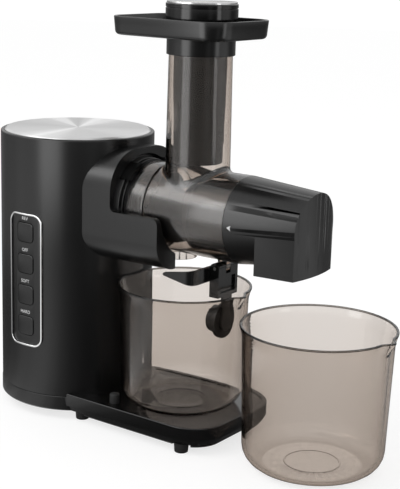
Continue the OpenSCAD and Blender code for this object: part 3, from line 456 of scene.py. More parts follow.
def mould_grain() -> bpy.types.NodeTree:
    """Builds the group for moulded plastic: fine mould texture, handling marks and a dust tint."""
    tree = node_group(
        "mould_grain",
        {
            "Vector": (0.0, 0.0, 0.0), "Grain": 900.0, "Marks": 14.0, "Roughness": 0.3,
            "Spread": 0.05, "Dark": (0.01, 0.01, 0.01, 1.0), "Light": (0.02, 0.02, 0.02, 1.0),
        },
        {"Color": "NodeSocketColor", "Roughness": "NodeSocketFloat", "Height": "NodeSocketFloat"},
    )
    w = Wiring(tree)
    given, out = w.ends()
    fine = w.add("TexNoise", {"Vector": given.outputs["Vector"], "Scale": given.outputs["Grain"], "Detail": 2.0})
    wide = w.add(
        "TexNoise",
        {"Vector": given.outputs["Vector"], "Scale": given.outputs["Marks"], "Detail": 5.0, "Roughness": 0.62},
    )
    swing = w.math("MULTIPLY", w.math("SUBTRACT", wide.outputs[0], 0.5), given.outputs["Spread"])
    rough = w.math("ADD", given.outputs["Roughness"], w.math("MULTIPLY", swing, 2.0))
    tint = w.add(
        "Mix", {0: wide.outputs[0], 6: given.outputs["Dark"], 7: given.outputs["Light"]}, data_type="RGBA"
    )
    tree.links.new(tint.outputs[2], out.inputs["Color"])
    tree.links.new(rough, out.inputs["Roughness"])
    tree.links.new(fine.outputs[0], out.inputs["Height"])
    return tree


def turned_lines() -> bpy.types.NodeTree:
    """Builds the group for turned metal: fine scratches that run around the local Z axis."""
    tree = node_group(
        "turned_lines",
        {
            "Vector": (0.0, 0.0, 0.0), "Lines": 1600.0, "Roughness": 0.3, "Spread": 0.1,
            "Dark": (0.5, 0.5, 0.5, 1.0), "Light": (0.7, 0.7, 0.7, 1.0),
        },
        {"Color": "NodeSocketColor", "Roughness": "NodeSocketFloat", "Height": "NodeSocketFloat"},
    )
    w = Wiring(tree)
    given, out = w.ends()
    parts = w.add("SeparateXYZ", {0: given.outputs["Vector"]})
    flat = w.add("CombineXYZ", {0: parts.outputs[0], 1: parts.outputs[1]})
    radius = w.add("VectorMath", {0: flat.outputs[0]}, operation="LENGTH").outputs["Value"]
    unit = w.add("VectorMath", {0: flat.outputs[0]}, operation="NORMALIZE")
    sides = w.add("SeparateXYZ", {0: unit.outputs[0]})
    around = w.add(
        "CombineXYZ",
        {
            0: w.math("MULTIPLY", radius, given.outputs["Lines"]),
            1: w.math("MULTIPLY", sides.outputs[0], 2.2),
            2: w.math("MULTIPLY", sides.outputs[1], 2.2),
        },
    )
    lines = w.add("TexNoise", {"Vector": around.outputs[0], "Scale": 1.0, "Detail": 3.0, "Roughness": 0.7})
    swing = w.math("MULTIPLY", w.math("SUBTRACT", lines.outputs[0], 0.5), given.outputs["Spread"])
    rough = w.math("ADD", given.outputs["Roughness"], swing)
    tint = w.add(
        "Mix", {0: lines.outputs[0], 6: given.outputs["Dark"], 7: given.outputs["Light"]}, data_type="RGBA"
    )
    tree.links.new(tint.outputs[2], out.inputs["Color"])
    tree.links.new(rough, out.inputs["Roughness"])
    tree.links.new(lines.outputs[0], out.inputs["Height"])
    return tree


def bearing_ramp(name: str, stops: Sequence[Point], bright: float) -> bpy.types.NodeTree:
    """Builds a group whose level follows the bearing of its vector around the upright axis.

    Args:
        name: Name of the group.
        stops: Bearings in degrees, each with its level.
        bright: The highest level that the ramp can hold.

    Returns:
        The group, built the first time.
    """
    known = bpy.data.node_groups.get(name)
    if known:
        return known
    tree = node_group(name, {"Vector": (0.0, 0.0, 0.0)}, {"Level": "NodeSocketFloat"})
    w = Wiring(tree)
    given, out = w.ends()
    parts = w.add("SeparateXYZ", {0: given.outputs["Vector"]})
    bearing = w.math("ARCTAN2", parts.outputs[1], parts.outputs[0])
    turn = w.math("FRACT", w.math("ADD", w.math("DIVIDE", bearing, 2 * math.pi), 1.0))
    ramp = w.add("ValToRGB", {0: turn})
    marks = ramp.color_ramp.elements
    while len(marks) > 1:
        marks.remove(marks[-1])
    ramp.color_ramp.interpolation = "EASE"
    for i, (degrees, level) in enumerate((*stops, (360, stops[0][1]))):
        mark = marks[0] if i == 0 else marks.new(degrees / 360)
        mark.position = degrees / 360
        mark.color = (*[level / bright] * 3, 1)
    tree.links.new(w.math("MULTIPLY", ramp.outputs[0], bright), out.inputs["Level"])
    return tree


class Groups:
    """Shader groups, each built when a finish first asks for it."""

    makers: dict[str, Callable[[], bpy.types.NodeTree]] = {
        "mould_grain": mould_grain,
        "turned_lines": turned_lines,
    }

    @classmethod
    def get(cls, name: str) -> bpy.types.NodeTree:
        """Returns a group by name."""
        return bpy.data.node_groups.get(name) or cls.makers[name]()


@dataclass(frozen=True)
class Finish:
    """A moulded, painted or plain metal surface with fine grain and handling marks."""

    name: str
    dark: tuple[float, float, float]
    light: tuple[float, float, float]
    roughness: float = 0.3
    spread: float = 0.05
    grain: float = 900.0
    marks: float = 14.0
    bump: float = 0.05
    depth: float = 0.00003
    metallic: float = 0.0
    coat: float = 0.0
    transmission: float = 0.0
    ior: float = 1.5
    centre: tuple[float, float, float] = (0.0, 0.0, 0.0)
    group: str = "mould_grain"

    def material(self) -> bpy.types.Material:
        """Returns the finish's material, and builds it the first time."""
        known = bpy.data.materials.get(self.name)
        if known:
            return known
        made = bpy.data.materials.new(self.name)
        made.use_nodes = True
        made.diffuse_color = (*self.light, 1.0)
        w = Wiring(made.node_tree)
        shader = made.node_tree.nodes["Principled BSDF"]
        place = w.add("TexCoord")
        moved = w.add("Mapping", {"Vector": place.outputs["Object"], "Location": self.centre})
        look = w.add("Group", node_tree=Groups.get(self.group))
        made.node_tree.links.new(moved.outputs[0], look.inputs["Vector"])
        self.set_pattern(look)
        look.inputs["Roughness"].default_value = self.roughness
        look.inputs["Spread"].default_value = self.spread
        look.inputs["Dark"].default_value = (*self.dark, 1.0)
        look.inputs["Light"].default_value = (*self.light, 1.0)
        relief = w.add(
            "Bump", {"Height": look.outputs["Height"], "Strength": self.bump, "Distance": self.depth}
        )
        link = made.node_tree.links.new
        link(look.outputs["Color"], shader.inputs["Base Color"])
        link(look.outputs["Roughness"], shader.inputs["Roughness"])
        link(relief.outputs[0], shader.inputs["Normal"])
        shader.inputs["Metallic"].default_value = self.metallic
        shader.inputs["Coat Weight"].default_value = self.coat
        shader.inputs["Transmission Weight"].default_value = self.transmission
        shader.inputs["IOR"].default_value = self.ior
        self.add_own(w, shader)
        return made

    def add_own(self, w: Wiring, shader: bpy.types.Node) -> None:
        """Adds what only this kind of finish has. A plain finish adds nothing."""

    def set_pattern(self, look: bpy.types.Node) -> None:
        """Sets the pattern's own scales."""
        look.inputs["Grain"].default_value = self.grain
        look.inputs["Marks"].default_value = self.marks


@dataclass(frozen=True)
class TurnedMetal(Finish):
    """Metal whose fine scratches run in circles around an upright axis, with an optional fan of painted reflection
    wedges in its base colour.
    """

    lines: float = 1600.0
    group: str = "turned_lines"
    stretch: float = 0.85
    # Painted reflection: bearings in degrees, each with the level that the base colour is multiplied by.
    fan: tuple[tuple[float, float], ...] = ()

    def set_pattern(self, look: bpy.types.Node) -> None:
        """Sets the spacing of the scratches."""
        look.inputs["Lines"].default_value = self.lines

    def add_own(self, w: Wiring, shader: bpy.types.Node) -> None:
        """Stretches the highlights across the scratches, and adds the painted reflection fan where one is given."""
        around = w.add("Tangent", direction_type="RADIAL", axis="Z")
        w.tree.links.new(around.outputs[0], shader.inputs["Tangent"])
        shader.inputs["Anisotropic"].default_value = self.stretch
        shader.inputs["Anisotropic Rotation"].default_value = 0.25
        if self.fan:
            self.add_painted_reflection_fan(w, shader)

    def add_painted_reflection_fan(self, w: Wiring, shader: bpy.types.Node) -> None:
        """Paints reflection into the turned face: its base colour is lightened and darkened in wedges around its
        centre, as painted highlights and painted shade.
        """
        tint = shader.inputs["Base Color"].links[0].from_socket
        place = w.add("Mapping", {"Vector": w.add("TexCoord").outputs["Object"], "Location": self.centre})
        wedge = w.add("Group", {0: place.outputs[0]}, node_tree=bearing_ramp("painted_reflection_fan", self.fan, 1.0))
        # Painted reflection: the base colour multiplied by the wedge levels.
        shaded = w.add("Mix", {0: 1.0, 6: tint, 7: wedge.outputs[0]}, data_type="RGBA", blend_type="MULTIPLY")
        w.tree.links.new(shaded.outputs[2], shader.inputs["Base Color"])


@dataclass(frozen=True)
class SmokedClear(Finish):
    """Clear plastic with a brown smoke tint that deepens with its thickness."""

    smoke: tuple[float, float, float] = (0.45, 0.325, 0.217)
    density: float = 250.0
    sheen_coat: float = 0.0
    coat_rough: float = 0.32

    def add_own(self, w: Wiring, shader: bpy.types.Node) -> None:
        """Fills the plastic's inside with the tint."""
        shader.inputs["Coat Weight"].default_value = self.sheen_coat
        shader.inputs["Coat Roughness"].default_value = self.coat_rough
        depth = w.add("VolumeAbsorption", {"Color": (*self.smoke, 1.0), "Density": self.density})
        end = next(node for node in w.tree.nodes if node.bl_idname == "ShaderNodeOutputMaterial")
        w.tree.links.new(depth.outputs[0], end.inputs["Volume"])


def grey(value: float, warm: float = 0.0) -> tuple[float, float, float]:
    """A grey, warmed by a share of itself."""
    return (value * (1 + warm), value, value * (1 - warm))


SATIN_BLACK = Finish("satin_black_plastic", grey(0.004), grey(0.007), roughness=0.26, spread=0.03, bump=0.12)
PANEL_BLACK = Finish("panel_black_plastic", grey(0.004), grey(0.007), roughness=0.3, spread=0.03, bump=0.12)
BUTTON_BLACK = Finish("button_black_plastic", grey(0.005), grey(0.009), roughness=0.24, spread=0.03, bump=0.1)
GLOSS_BLACK = Finish("gloss_black_plastic", grey(0.003), grey(0.006), roughness=0.1, spread=0.04, bump=0.04)
TRAY_BLACK = Finish("tray_black_plastic", grey(0.003), grey(0.006), roughness=0.2, spread=0.03, bump=0.1)
LEVER_BLACK = Finish("lever_black_plastic", grey(0.003), grey(0.006), roughness=0.14, spread=0.04, bump=0.05)
RING_GREY = Finish("ring_grey_plastic", grey(0.04), grey(0.06), roughness=0.34, spread=0.05, bump=0.1)
PLUG_GREY = Finish("plug_grey_silicone", grey(0.03), grey(0.045), roughness=0.5, spread=0.06, bump=0.12)
RUBBER = Finish("black_rubber", grey(0.012), grey(0.02), roughness=0.7, spread=0.08, grain=1600, bump=0.25)
SEAL = Finish("pale_silicone", grey(0.45), grey(0.55), roughness=0.5, spread=0.06, bump=0.1)
CHROME = Finish("chrome_plate", grey(0.8), grey(0.88), roughness=0.06, spread=0.04, metallic=1.0, bump=0.02)
STEEL = Finish("ground_steel", grey(0.5), grey(0.62), roughness=0.28, spread=0.1, metallic=1.0, bump=0.1)
CAST = Finish("cast_metal", grey(0.28), grey(0.38), roughness=0.5, spread=0.1, metallic=1.0, grain=500, bump=0.3)
MAGNET = Finish("ferrite", grey(0.03), grey(0.05), roughness=0.6, spread=0.1, bump=0.2)
COPPER = Finish("wound_copper", (0.5, 0.2, 0.08), (0.72, 0.33, 0.16), roughness=0.32, metallic=1.0, grain=2200, bump=0.4)
BRASS = Finish("brass_teeth", (0.55, 0.38, 0.14), (0.72, 0.52, 0.22), roughness=0.3, metallic=1.0, bump=0.1)
NYLON = Finish("white_nylon", (0.62, 0.6, 0.52), (0.72, 0.7, 0.62), roughness=0.45, bump=0.1)
SCREW_PLASTIC = Finish("screw_dark_plastic", grey(0.005), grey(0.009), roughness=0.4, spread=0.05, bump=0.1)
BOARD = Finish("circuit_board", (0.006, 0.05, 0.02), (0.015, 0.09, 0.04), roughness=0.4, bump=0.15)
LETTERING = Finish("white_lettering", grey(0.7), grey(0.8), roughness=0.5, bump=0.05)
TOP_STEEL = TurnedMetal(
    "turned_top_steel", grey(0.86), grey(0.98), roughness=0.3, spread=0.12, metallic=1.0, bump=0.35,
    depth=0.00012, centre=(0.13165, 0, 0),
    # Painted reflection wedges on the turned disc: the high levels are painted highlights, the low ones painted shade.
    fan=(
        (0, 0.8), (45, 0.8), (80, 0.74), (104, 0.9), (114, 1.0), (123, 0.74), (131, 0.62), (138, 0.66),
        (144, 0.98), (152, 1.0), (163, 0.78), (195, 0.74), (221, 0.84), (250, 0.78), (266, 0.86), (276, 1.0),
        (288, 0.82), (305, 0.72), (330, 0.76),
    ),
)
CAP_STEEL = TurnedMetal(
    "turned_cap_steel", grey(0.58), grey(0.72), roughness=0.28, spread=0.12, metallic=1.0, bump=0.3,
    depth=0.0001, centre=(-0.00435, 0, 0),
)
MESH_STEEL = Finish("strainer_mesh", grey(0.008), grey(0.015), roughness=0.45, grain=1500, bump=0.4)
SMOKED = SmokedClear(
    "smoked_clear_plastic", grey(0.95), grey(0.99), roughness=0.02, spread=0.02, transmission=1.0, ior=1.49,
    bump=0.01,
)
# Painted shade: a darker copy of the smoked plastic for the cups' top rim band, standing in for the darkening that
# refraction in the rim's lip gives.
SMOKED_RIM_PAINTED_SHADE = SmokedClear(
    "smoked_rim_painted_shade", grey(0.3, 0.05), grey(0.4, 0.05), roughness=0.03, spread=0.02, transmission=1.0,
    ior=1.49, bump=0.01,
)
SMOKED_DARK = SmokedClear(
    "smoked_drum_plastic", grey(0.95), grey(0.99), roughness=0.03, spread=0.02, transmission=1.0, ior=1.49,
    bump=0.01, density=290.0, sheen_coat=0.8,
)


class Workshop:
    """Hands finished meshes to the frame, and dresses the frame's own nodes."""

    def __init__(self, frame: dict) -> None:
        """Keeps the loaded frame."""
        self.frame = frame
        self.count = 0

    def publish(
        self,
        made: Shape | bpy.types.Object,
        name: str,
        finish: Finish,
        body: Body,
        nodes: Iterable[str] = (),
        bevel: float = 0.0,
        angle: float = 35.0,
        segments: int = 2,
    ) -> bpy.types.Object:
        """Ends a piece: moves it to the shared frame, shades, dresses and joins it to its body.

        Args:
            made: The piece's mesh in the drawing's millimetres.
            name: Name of the piece.
            finish: Its finish.
            body: The body that it moves with.
            nodes: The frame's nodes that it stands for.
            bevel: Rounding of its sharp edges in millimetres, or 0.
            angle: Turn above which an edge counts as sharp, in degrees.
            segments: Faces across each rounding.

        Returns:
            The finished object.
        """
        piece = made.object(name) if isinstance(made, Shape) else made
        piece.name = name
        piece.data.name = name
        piece.data.transform(LAYOUT.to_frame())
        piece.data.materials.clear()
        piece.data.materials.append(finish.material())
        for face in piece.data.polygons:
            face.use_smooth = True
            face.material_index = 0
        piece.data.set_sharp_from_angle(angle=math.radians(angle))
        if bevel:
            step = piece.modifiers.new("rounding", "BEVEL")
            step.width = bevel * 0.001
            step.segments = segments
            step.limit_method = "ANGLE"
            step.angle_limit = math.radians(angle)
            step.use_clamp_overlap = True
            piece.modifiers.new("shading", "WEIGHTED_NORMAL").keep_sharp = True
        if nodes:
            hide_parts(*nodes)
        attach(piece, body.value)
        self.count += 1
        LOG.info("%s: %d faces on %s", name, len(piece.data.polygons), body.value)
        return piece

    def rework(
        self, node: str, name: str, finish: Finish, body: Body, bevel: float
    ) -> bpy.types.Object:
        """Replaces a node by a merged copy with rounded edges.

        Args:
            node: The frame's node.
            name: Name of the new piece.
            finish: Its finish.
            body: The body that it moves with.
            bevel: Rounding of its sharp edges in millimetres.

        Returns:
            The finished object.
        """
        part = bmesh.new()
        part.from_mesh(self.frame["nodes"][node].data)
        bmesh.ops.transform(part, matrix=LAYOUT.to_frame().inverted(), verts=part.verts)
        bmesh.ops.remove_doubles(part, verts=part.verts, dist=0.002)
        bmesh.ops.dissolve_limit(part, angle_limit=math.radians(1.0), verts=part.verts, edges=part.edges)
        shape = Shape()
        shape.bm.free()
        shape.bm = part
        return self.publish(shape, name, finish, body, (node,), bevel=bevel)

    def dress(self, finish: Finish, *nodes: str) -> None:
        """Gives the frame's own nodes a finish."""
        for node in nodes:
            piece = self.frame["nodes"][node]
            if not piece.material_slots:
                piece.data.materials.append(None)
            for place in piece.material_slots:
                place.material = finish.material()
            self.count += 1
            LOG.info("%s: dressed in %s", node, finish.name)


# --- sub-assemblies ---------------------------------------------------------------------------


@dataclass
class Column:
    """Motor column: its shell, the turned steel disc, and the cord's grommet at the back."""

    wall: float = 2.5
    top: float = 255.5
    rim: float = 3.4
    disc_t: float = 2.4
    disc_proud: float = 1.5
    low: float = 21.65
    edge: float = 1.5
    panel: Point = (34.6, 118.6)
    panel_z: float = 126.5

    def build(self, shop: Workshop) -> None:
        """Makes the shell, disc and grommet."""
        shop.publish(
            self.shell(), "column_shell", SATIN_BLACK, Body.FRAME, ("motor_housing",)
        )
        shop.publish(self.disc(), "top_disc_turned", TOP_STEEL, Body.FRAME, ("top_disc",))
        shop.publish(self.grommet(), "cord_grommet", RUBBER, Body.FRAME, ("cord_gland",))

    def shell(self) -> bpy.types.Object:
        """The hollow shell with its rounded rim and three openings."""
        r = LAYOUT.body_r
        seat = self.top - self.disc_t + self.disc_proud
        lip = r - self.rim + 0.15
        outline = rounded(
            [
                (0, seat, 0), (lip, seat, 0), (lip, self.top, 0.3), (r, self.top, self.edge),
                (r, self.low, 0.5), (r - self.wall, self.low, 0),
                (r - self.wall, seat - self.wall, 1.5), (0, seat - self.wall, 0),
            ],
            closed=False,
        )
        shell = Shape().lathe(outline, steps=180).object("column")
        carve(shell, Shape().slab((87, 90), 18, (0, r + 8), Plane.END, (0, LAYOUT.axis_z)), Cut.TAKE)
        carve(shell, Shape().slab(self.panel, 7.3, (-r - 2, -r + 9), Plane.SIDE, (0, self.panel_z)), Cut.TAKE)
        hole = Shape().lathe([(0, r - 8), (6.05, r - 8), (6.05, r + 3), (0, r + 3)], Axis.ACROSS, (0, 0, 42))
        return carve(shell, hole, Cut.TAKE)

    def disc(self) -> Shape:
        """The steel disc with its bevelled edge."""
        top = self.top + self.disc_proud
        r = LAYOUT.body_r - self.rim
        outline = rounded(
            [
                (0, top, 0), (r - 1.9, top, 0.35), (r, top - 1.3, 0.35), (r, top - self.disc_t, 0),
                (0, top - self.disc_t, 0),
            ],
            closed=False, steps=3,
        )
        return Shape().lathe(outline, steps=180)

    def grommet(self) -> Shape:
        """The rubber grommet that the cord leaves through."""
        r = LAYOUT.body_r
        outline = rounded(
            [
                (3.4, r - 8, 0), (8, r - 8, 0.4), (8, r - 3.5, 0), (6, r - 3.5, 0), (6, r + 0.15, 0),
                (9, r + 0.15, 0), (9, r + 1.8, 0.8), (3.4, r + 1.8, 0.5),
            ]
        )
        return Shape().lathe(outline, Axis.ACROSS, (0, 0, 42), steps=48)


@dataclass
class Base:
    """Base ring with the plank under the juice cup, its feet and its cup stop."""

    length: float = 190.5
    half_w: float = 58.3
    corner: float = 32
    top: float = 24.4
    recess: float = 1.0
    lip: float = 5
    foot_h: float = 8
    ring_top: float = 21.5
    feet: tuple[Point, ...] = ((47.84, 46.19), (47.84, -46.19), (163, 50), (163, -50), (-52, 0))
    stop: Point = (84.37, -45)

    def build(self, shop: Workshop) -> None:
        """Makes the plank, its feet and its stop."""
        shop.publish(
            self.plank(), "base_plank_shell", GLOSS_BLACK, Body.FRAME, ("base_plank",),
            bevel=0.5, segments=3,
        )
        feet = Shape()
        for x, y in self.feet:
            feet.lathe(
                rounded([(0, 0, 0), (5.9, 0, 0.8), (6.5, self.foot_h, 0), (0, self.foot_h, 0)], closed=False),
                centre=(x, y, 0), steps=40,
            )
        shop.publish(feet, "rubber_feet", RUBBER, Body.FRAME, ("feet",))
        floor = self.top - self.recess
        stop = Shape().lathe(
            rounded([(0, floor, 0), (4.4, floor, 0), (4.4, floor + 9, 1.8), (0, floor + 9, 0)], closed=False),
            centre=(*self.stop, 0), steps=40,
        )
        shop.publish(stop, "cup_stop_peg", RUBBER, Body.FRAME, ("cup_stop",))

    def outline(self, inset: float, span: Point, levels: Sequence[Point] = ()) -> Shape:
        """The plank's outline, drawn in by an inset and made a block."""
        size = (self.length - inset, 2 * (self.half_w - inset))
        r = self.corner - inset
        return Shape().slab(size, (0, r, r, 0), span, centre=(size[0] / 2, 0), steps=14, levels=levels)

    def plank(self) -> bpy.types.Object:
        """The plank joined to the base ring, with the recess and the rooms under it."""
        r = LAYOUT.body_r
        plank = self.outline(0, (self.foot_h + 5, self.top)).bm
        shape = Shape()
        shape.bm.free()
        shape.bm = plank
        shape.bevel(1.0, 60, 4, lambda p: p.z > self.top - 0.1)
        body = shape.object("plank")
        low = self.outline(3.5, (self.foot_h, self.foot_h + 0.4))
        carve(body, self.skirt(), Cut.ADD)
        carve(body, low, Cut.ADD)
        ring = rounded(
            [
                (60, self.foot_h, 0), (r - 1.2, self.foot_h, 0), (r + 0.3, self.foot_h + 1.5, 0.8),
                (r + 0.3, self.ring_top, 0.6), (60, self.ring_top, 0),
            ]
        )
        carve(body, Shape().lathe(ring, steps=180), Cut.ADD)
        seat = [(0, self.ring_top), (r + 0.15, self.ring_top), (r + 0.15, 50), (0, 50)]
        carve(body, Shape().lathe(seat, steps=180), Cut.TAKE)
        room = [(0, 5), (r - 6, 5), (r - 6, 18), (r - 14, 18), (r - 14, 41), (0, 41)]
        carve(body, Shape().lathe(room, steps=90), Cut.TAKE)
        recess = self.outline(self.lip, (self.top - self.recess, 40)).object("recess")
        keep = [(0, 10), (r + self.lip, 10), (r + self.lip, 50), (0, 50)]
        carve(recess, Shape().lathe(keep, steps=180), Cut.TAKE)
        under = self.outline(6.5, (5, 20.4)).object("under")
        carve(under, Shape().lathe([(0, 1), (r - 3, 1), (r - 3, 50), (0, 50)], steps=90), Cut.TAKE)
        for x, y in self.feet[:4]:
            boss = Shape().lathe([(0, 1), (8.5, 1), (8.5, 50), (0, 50)], centre=(x, y, 0), steps=32)
            carve(under, boss, Cut.TAKE)
        for tool in (recess, under):
            cutter = Shape()
            cutter.bm.from_mesh(tool.data)
            bpy.data.objects.remove(tool)
            carve(body, cutter, Cut.TAKE)
        return body

    def skirt(self) -> Shape:
        """The plank's sloping lower edge."""
        size = (self.length, 2 * self.half_w)
        shape = Shape()
        shape.slab(
            size, (0, self.corner, self.corner, 0), (self.foot_h + 5.4, self.foot_h + 5),
            centre=(size[0] / 2, 0), steps=14, levels=((3.5, self.foot_h),),
        )
        return shape


@dataclass
class ControlPanel:
    """Chrome frame, plate, four push buttons and their lettering, bent around the column."""

    width: float = 38
    height: float = 122
    z: float = 126.5
    frame_w: float = 1.7
    proud: float = 1.8
    button: Point = (18.8, 17.4)
    first_z: float = 84.2
    pitch: float = 28.6
    label_up: float = 12.6
    label_size: float = 4.2
    rows: tuple[tuple[str, Body], ...] = (
        ("HARD", Body.HARD), ("SOFT", Body.SOFT), ("OFF", Body.OFF), ("REV", Body.REV),
    )

    def build(self, shop: Workshop) -> None:
        """Makes the frame, plate, buttons and labels."""
        inner = (self.width - 2 * self.frame_w, self.height - 2 * self.frame_w)
        frame = Shape().slab((self.width, self.height), 9, (-self.proud, -0.05), Plane.SIDE, (0, self.z)).object("f")
        carve(frame, Shape().slab(inner, 7.3, (-9, 9), Plane.SIDE, (0, self.z)), Cut.TAKE)
        shop.publish(
            self.bend(frame, 0.5, 3, self.width / 2), "panel_frame_chrome", CHROME, Body.FRAME,
            ("panel_frame",),
        )
        size = (inner[0] - 0.3, inner[1] - 0.3)
        plate = Shape().slab(size, 7.15, (-0.4, 2.6), Plane.SIDE, (0, self.z)).object("p")
        for i in range(4):
            hole = (self.button[0] + 0.7, self.button[1] + 0.7)
            z = self.first_z + i * self.pitch
            carve(plate, Shape().slab(hole, 4.3, (-9, 9), Plane.SIDE, (0, z)), Cut.TAKE)
        shop.publish(
            self.bend(plate, 0.25, 2, size[0] / 2), "panel_plate", PANEL_BLACK, Body.FRAME,
            ("control_panel",),
        )
        for i, (word, body) in enumerate(self.rows):
            z = self.first_z + i * self.pitch
            shop.publish(
                self.push_button(z), f"{word.lower()}_button_face", BUTTON_BLACK, body,
                (f"button_{word.lower()}",),
            )
            shop.publish(self.label(word, z), f"{word.lower()}_label", LETTERING, Body.FRAME)

    def bend(self, flat: bpy.types.Object, rounding: float, segments: int, half: float) -> Shape:
        """Rounds a flat piece's edges and bends it around the column."""
        shape = Shape()
        shape.bm.from_mesh(flat.data)
        bpy.data.objects.remove(flat)
        return shape.bevel(rounding, 60, segments).wrap(LAYOUT.body_r, half)

    def push_button(self, z: float) -> Shape:
        """One button: its face, the flange that retains it, and its stem."""
        r = LAYOUT.body_r
        face = Shape().slab(self.button, 4, (-0.9, 2.9), Plane.SIDE, (0, z))
        face.bevel(0.8, 60, 3, lambda p: p.y < 0)
        flange = (self.button[0] + 2.6, self.button[1] + 2.6)
        face.slab(flange, 4, (2.8, 4.8), Plane.SIDE, (0, z))
        face.wrap(r, flange[0] / 2)
        return face.lathe([(0, -r + 3.8), (3, -r + 3.8), (3, -r + 6.3), (0, -r + 6.3)], Axis.ACROSS, (0, 0, z), 24)

    def label(self, word: str, z: float) -> Shape:
        """One word over a button."""
        curve = bpy.data.curves.new(word, "FONT")
        curve.body = word
        curve.size = self.label_size
        curve.extrude = 0.06
        curve.align_x = "CENTER"
        curve.align_y = "CENTER"
        source = bpy.data.objects.new(word, curve)
        bpy.context.scene.collection.objects.link(source)
        graph = bpy.context.evaluated_depsgraph_get()
        mesh = bpy.data.meshes.new_from_object(source.evaluated_get(graph))
        shape = Shape()
        shape.bm.from_mesh(mesh)
        bpy.data.objects.remove(source)
        bpy.data.curves.remove(curve)
        bmesh.ops.remove_doubles(shape.bm, verts=shape.bm.verts, dist=0.001)
        turn = Matrix.Translation((0, -0.42, z + self.label_up)) @ Matrix.Rotation(math.pi / 2, 4, "X")
        bmesh.ops.transform(shape.bm, matrix=turn, verts=shape.bm.verts)
        return shape.wrap(LAYOUT.body_r, 9, 1.2)


@dataclass
class DriveArm:
    """Arm between the column and the drum, with the socket ring and the drum's lock ring."""

    x0: float = 40
    mouth_x: float = 79
    jaw_x: float = 128.7
    width0: float = 101
    width1: float = 92
    half_h: float = 49
    top_r: float = 35
    low_r: float = 25
    wall: float = 3
    jaw_drop: float = 1.7
    jaw_in: float = 19
    socket_x: float = 72
    socket_r: float = 40

    def build(self, shop: Workshop) -> None:
        """Makes the arm and its two rings."""
        shop.publish(
            self.housing(), "arm_shell", SATIN_BLACK, Body.FRAME, ("arm_housing",),
            bevel=0.9, angle=40, segments=3,
        )
        shop.publish(self.socket(), "socket_ring_grey", RING_GREY, Body.FRAME, ("socket_ring",), bevel=0.4)
        shop.publish(self.lock(), "lock_ring_black", GLOSS_BLACK, Body.FRAME, ("lock_ring",), bevel=0.4)

    def section(self, width: float, inset: float) -> list[Point]:
        """The arm's cross section in Y and Z, drawn in by a wall."""
        side = width / 2 - inset
        up = LAYOUT.axis_z + self.half_h - inset
        down = LAYOUT.axis_z - self.half_h + inset
        top, low = self.top_r - inset, self.low_r - inset
        return rounded([(-side, down, low), (side, down, low), (side, up, top), (-side, up, top)], steps=18)

    def housing(self) -> bpy.types.Object:
        """The arm's shell with the mouth, the bore and the open side of its jaw."""
        z = LAYOUT.axis_z
        arm = Shape().loft(
            [(self.section(self.width0, 0), self.x0), (self.section(self.width1, 0), self.jaw_x)]
        ).object("arm")
        top = z - self.jaw_drop
        cut = rounded(
            [
                (self.mouth_x, z + 90, 0), (self.mouth_x, top, 5), (self.jaw_x, top, 6),
                (self.jaw_x, z - 90, 0), (self.jaw_x + 30, z - 90, 0), (self.jaw_x + 30, z + 90, 0),
            ],
            steps=8,
        )
        carve(arm, Shape().prism(cut, (-90, 90), Plane.SIDE), Cut.TAKE)
        r = LAYOUT.body_r
        column = [(0, 100), (r + 0.15, 100), (r + 0.15, 300), (0, 300)]
        carve(arm, Shape().lathe(column, steps=180), Cut.TAKE)
        bore = [
            (0, 60), (16.15, 60), (16.15, self.socket_x), (self.socket_r + 3.6, self.socket_x),
            (self.socket_r + 3.6, self.mouth_x + 1), (self.socket_r + 0.4, self.mouth_x + 1),
            (self.socket_r + 0.4, 152), (0, 152),
        ]
        carve(arm, Shape().lathe(bore, Axis.ALONG, (0, 0, z), 128), Cut.TAKE)
        side = Shape().slab((80, 300), 0, (-self.jaw_in, 100), Plane.SIDE, (self.mouth_x + 46, z))
        carve(arm, side, Cut.TAKE)
        room = Shape().loft(
            [(self.section(self.width0, self.wall), self.x0 - 1), (self.section(98, self.wall), 69)]
        )
        return carve(arm, room, Cut.TAKE)

    def socket(self) -> Shape:
        """The grey ring that the drum is pushed into."""
        x, r = self.socket_x, self.socket_r
        outline = rounded(
            [
                (16.3, x, 0), (r + 1.6, x, 0), (r + 1.6, x + 3, 0), (r, x + 3, 0), (r, x + 9.5, 0.6),
                (29.8, x + 9.5, 0.6), (29.8, x + 1, 0), (16.3, x + 1, 0),
            ]
        )
        return Shape().lathe(outline, Axis.ALONG, (0, 0, LAYOUT.axis_z), 128)

    def lock(self) -> bpy.types.Object:
        """The black bayonet ring with its two lugs."""
        x, z = self.socket_x + 9.5, LAYOUT.axis_z
        outline = rounded([(29.75, x, 0), (39.5, x, 0.4), (39.5, x + 4, 0.5), (29.75, x + 4, 0.3)])
        ring = Shape().lathe(outline, Axis.ALONG, (0, 0, z), 128).object("lock")
        for turn in (140, 220):
            high = self.socket_r + 3
            lug = Shape().lathe(
                [
                    (38.5, x), (self.socket_r + 0.15, x), (self.socket_r + 0.15, x - 4), (high, x - 4),
                    (high, x + 7), (38.5, x + 7),
                ],
                Axis.ALONG, (0, 0, z), 96,
            ).object("lug")
            wedge = [(0, 0)] + [(60, -14), (60, 14)]
            spin = math.radians(turn)
            turned = [
                (u * math.sin(spin) + v * math.cos(spin), z - u * math.cos(spin) + v * math.sin(spin))
                for u, v in wedge
            ]
            carve(lug, Shape().prism(turned, (x - 5, x + 20), Plane.END), Cut.KEEP)
            tool = Shape()
            tool.bm.from_mesh(lug.data)
            bpy.data.objects.remove(lug)
            carve(ring, tool, Cut.ADD)
        return ring


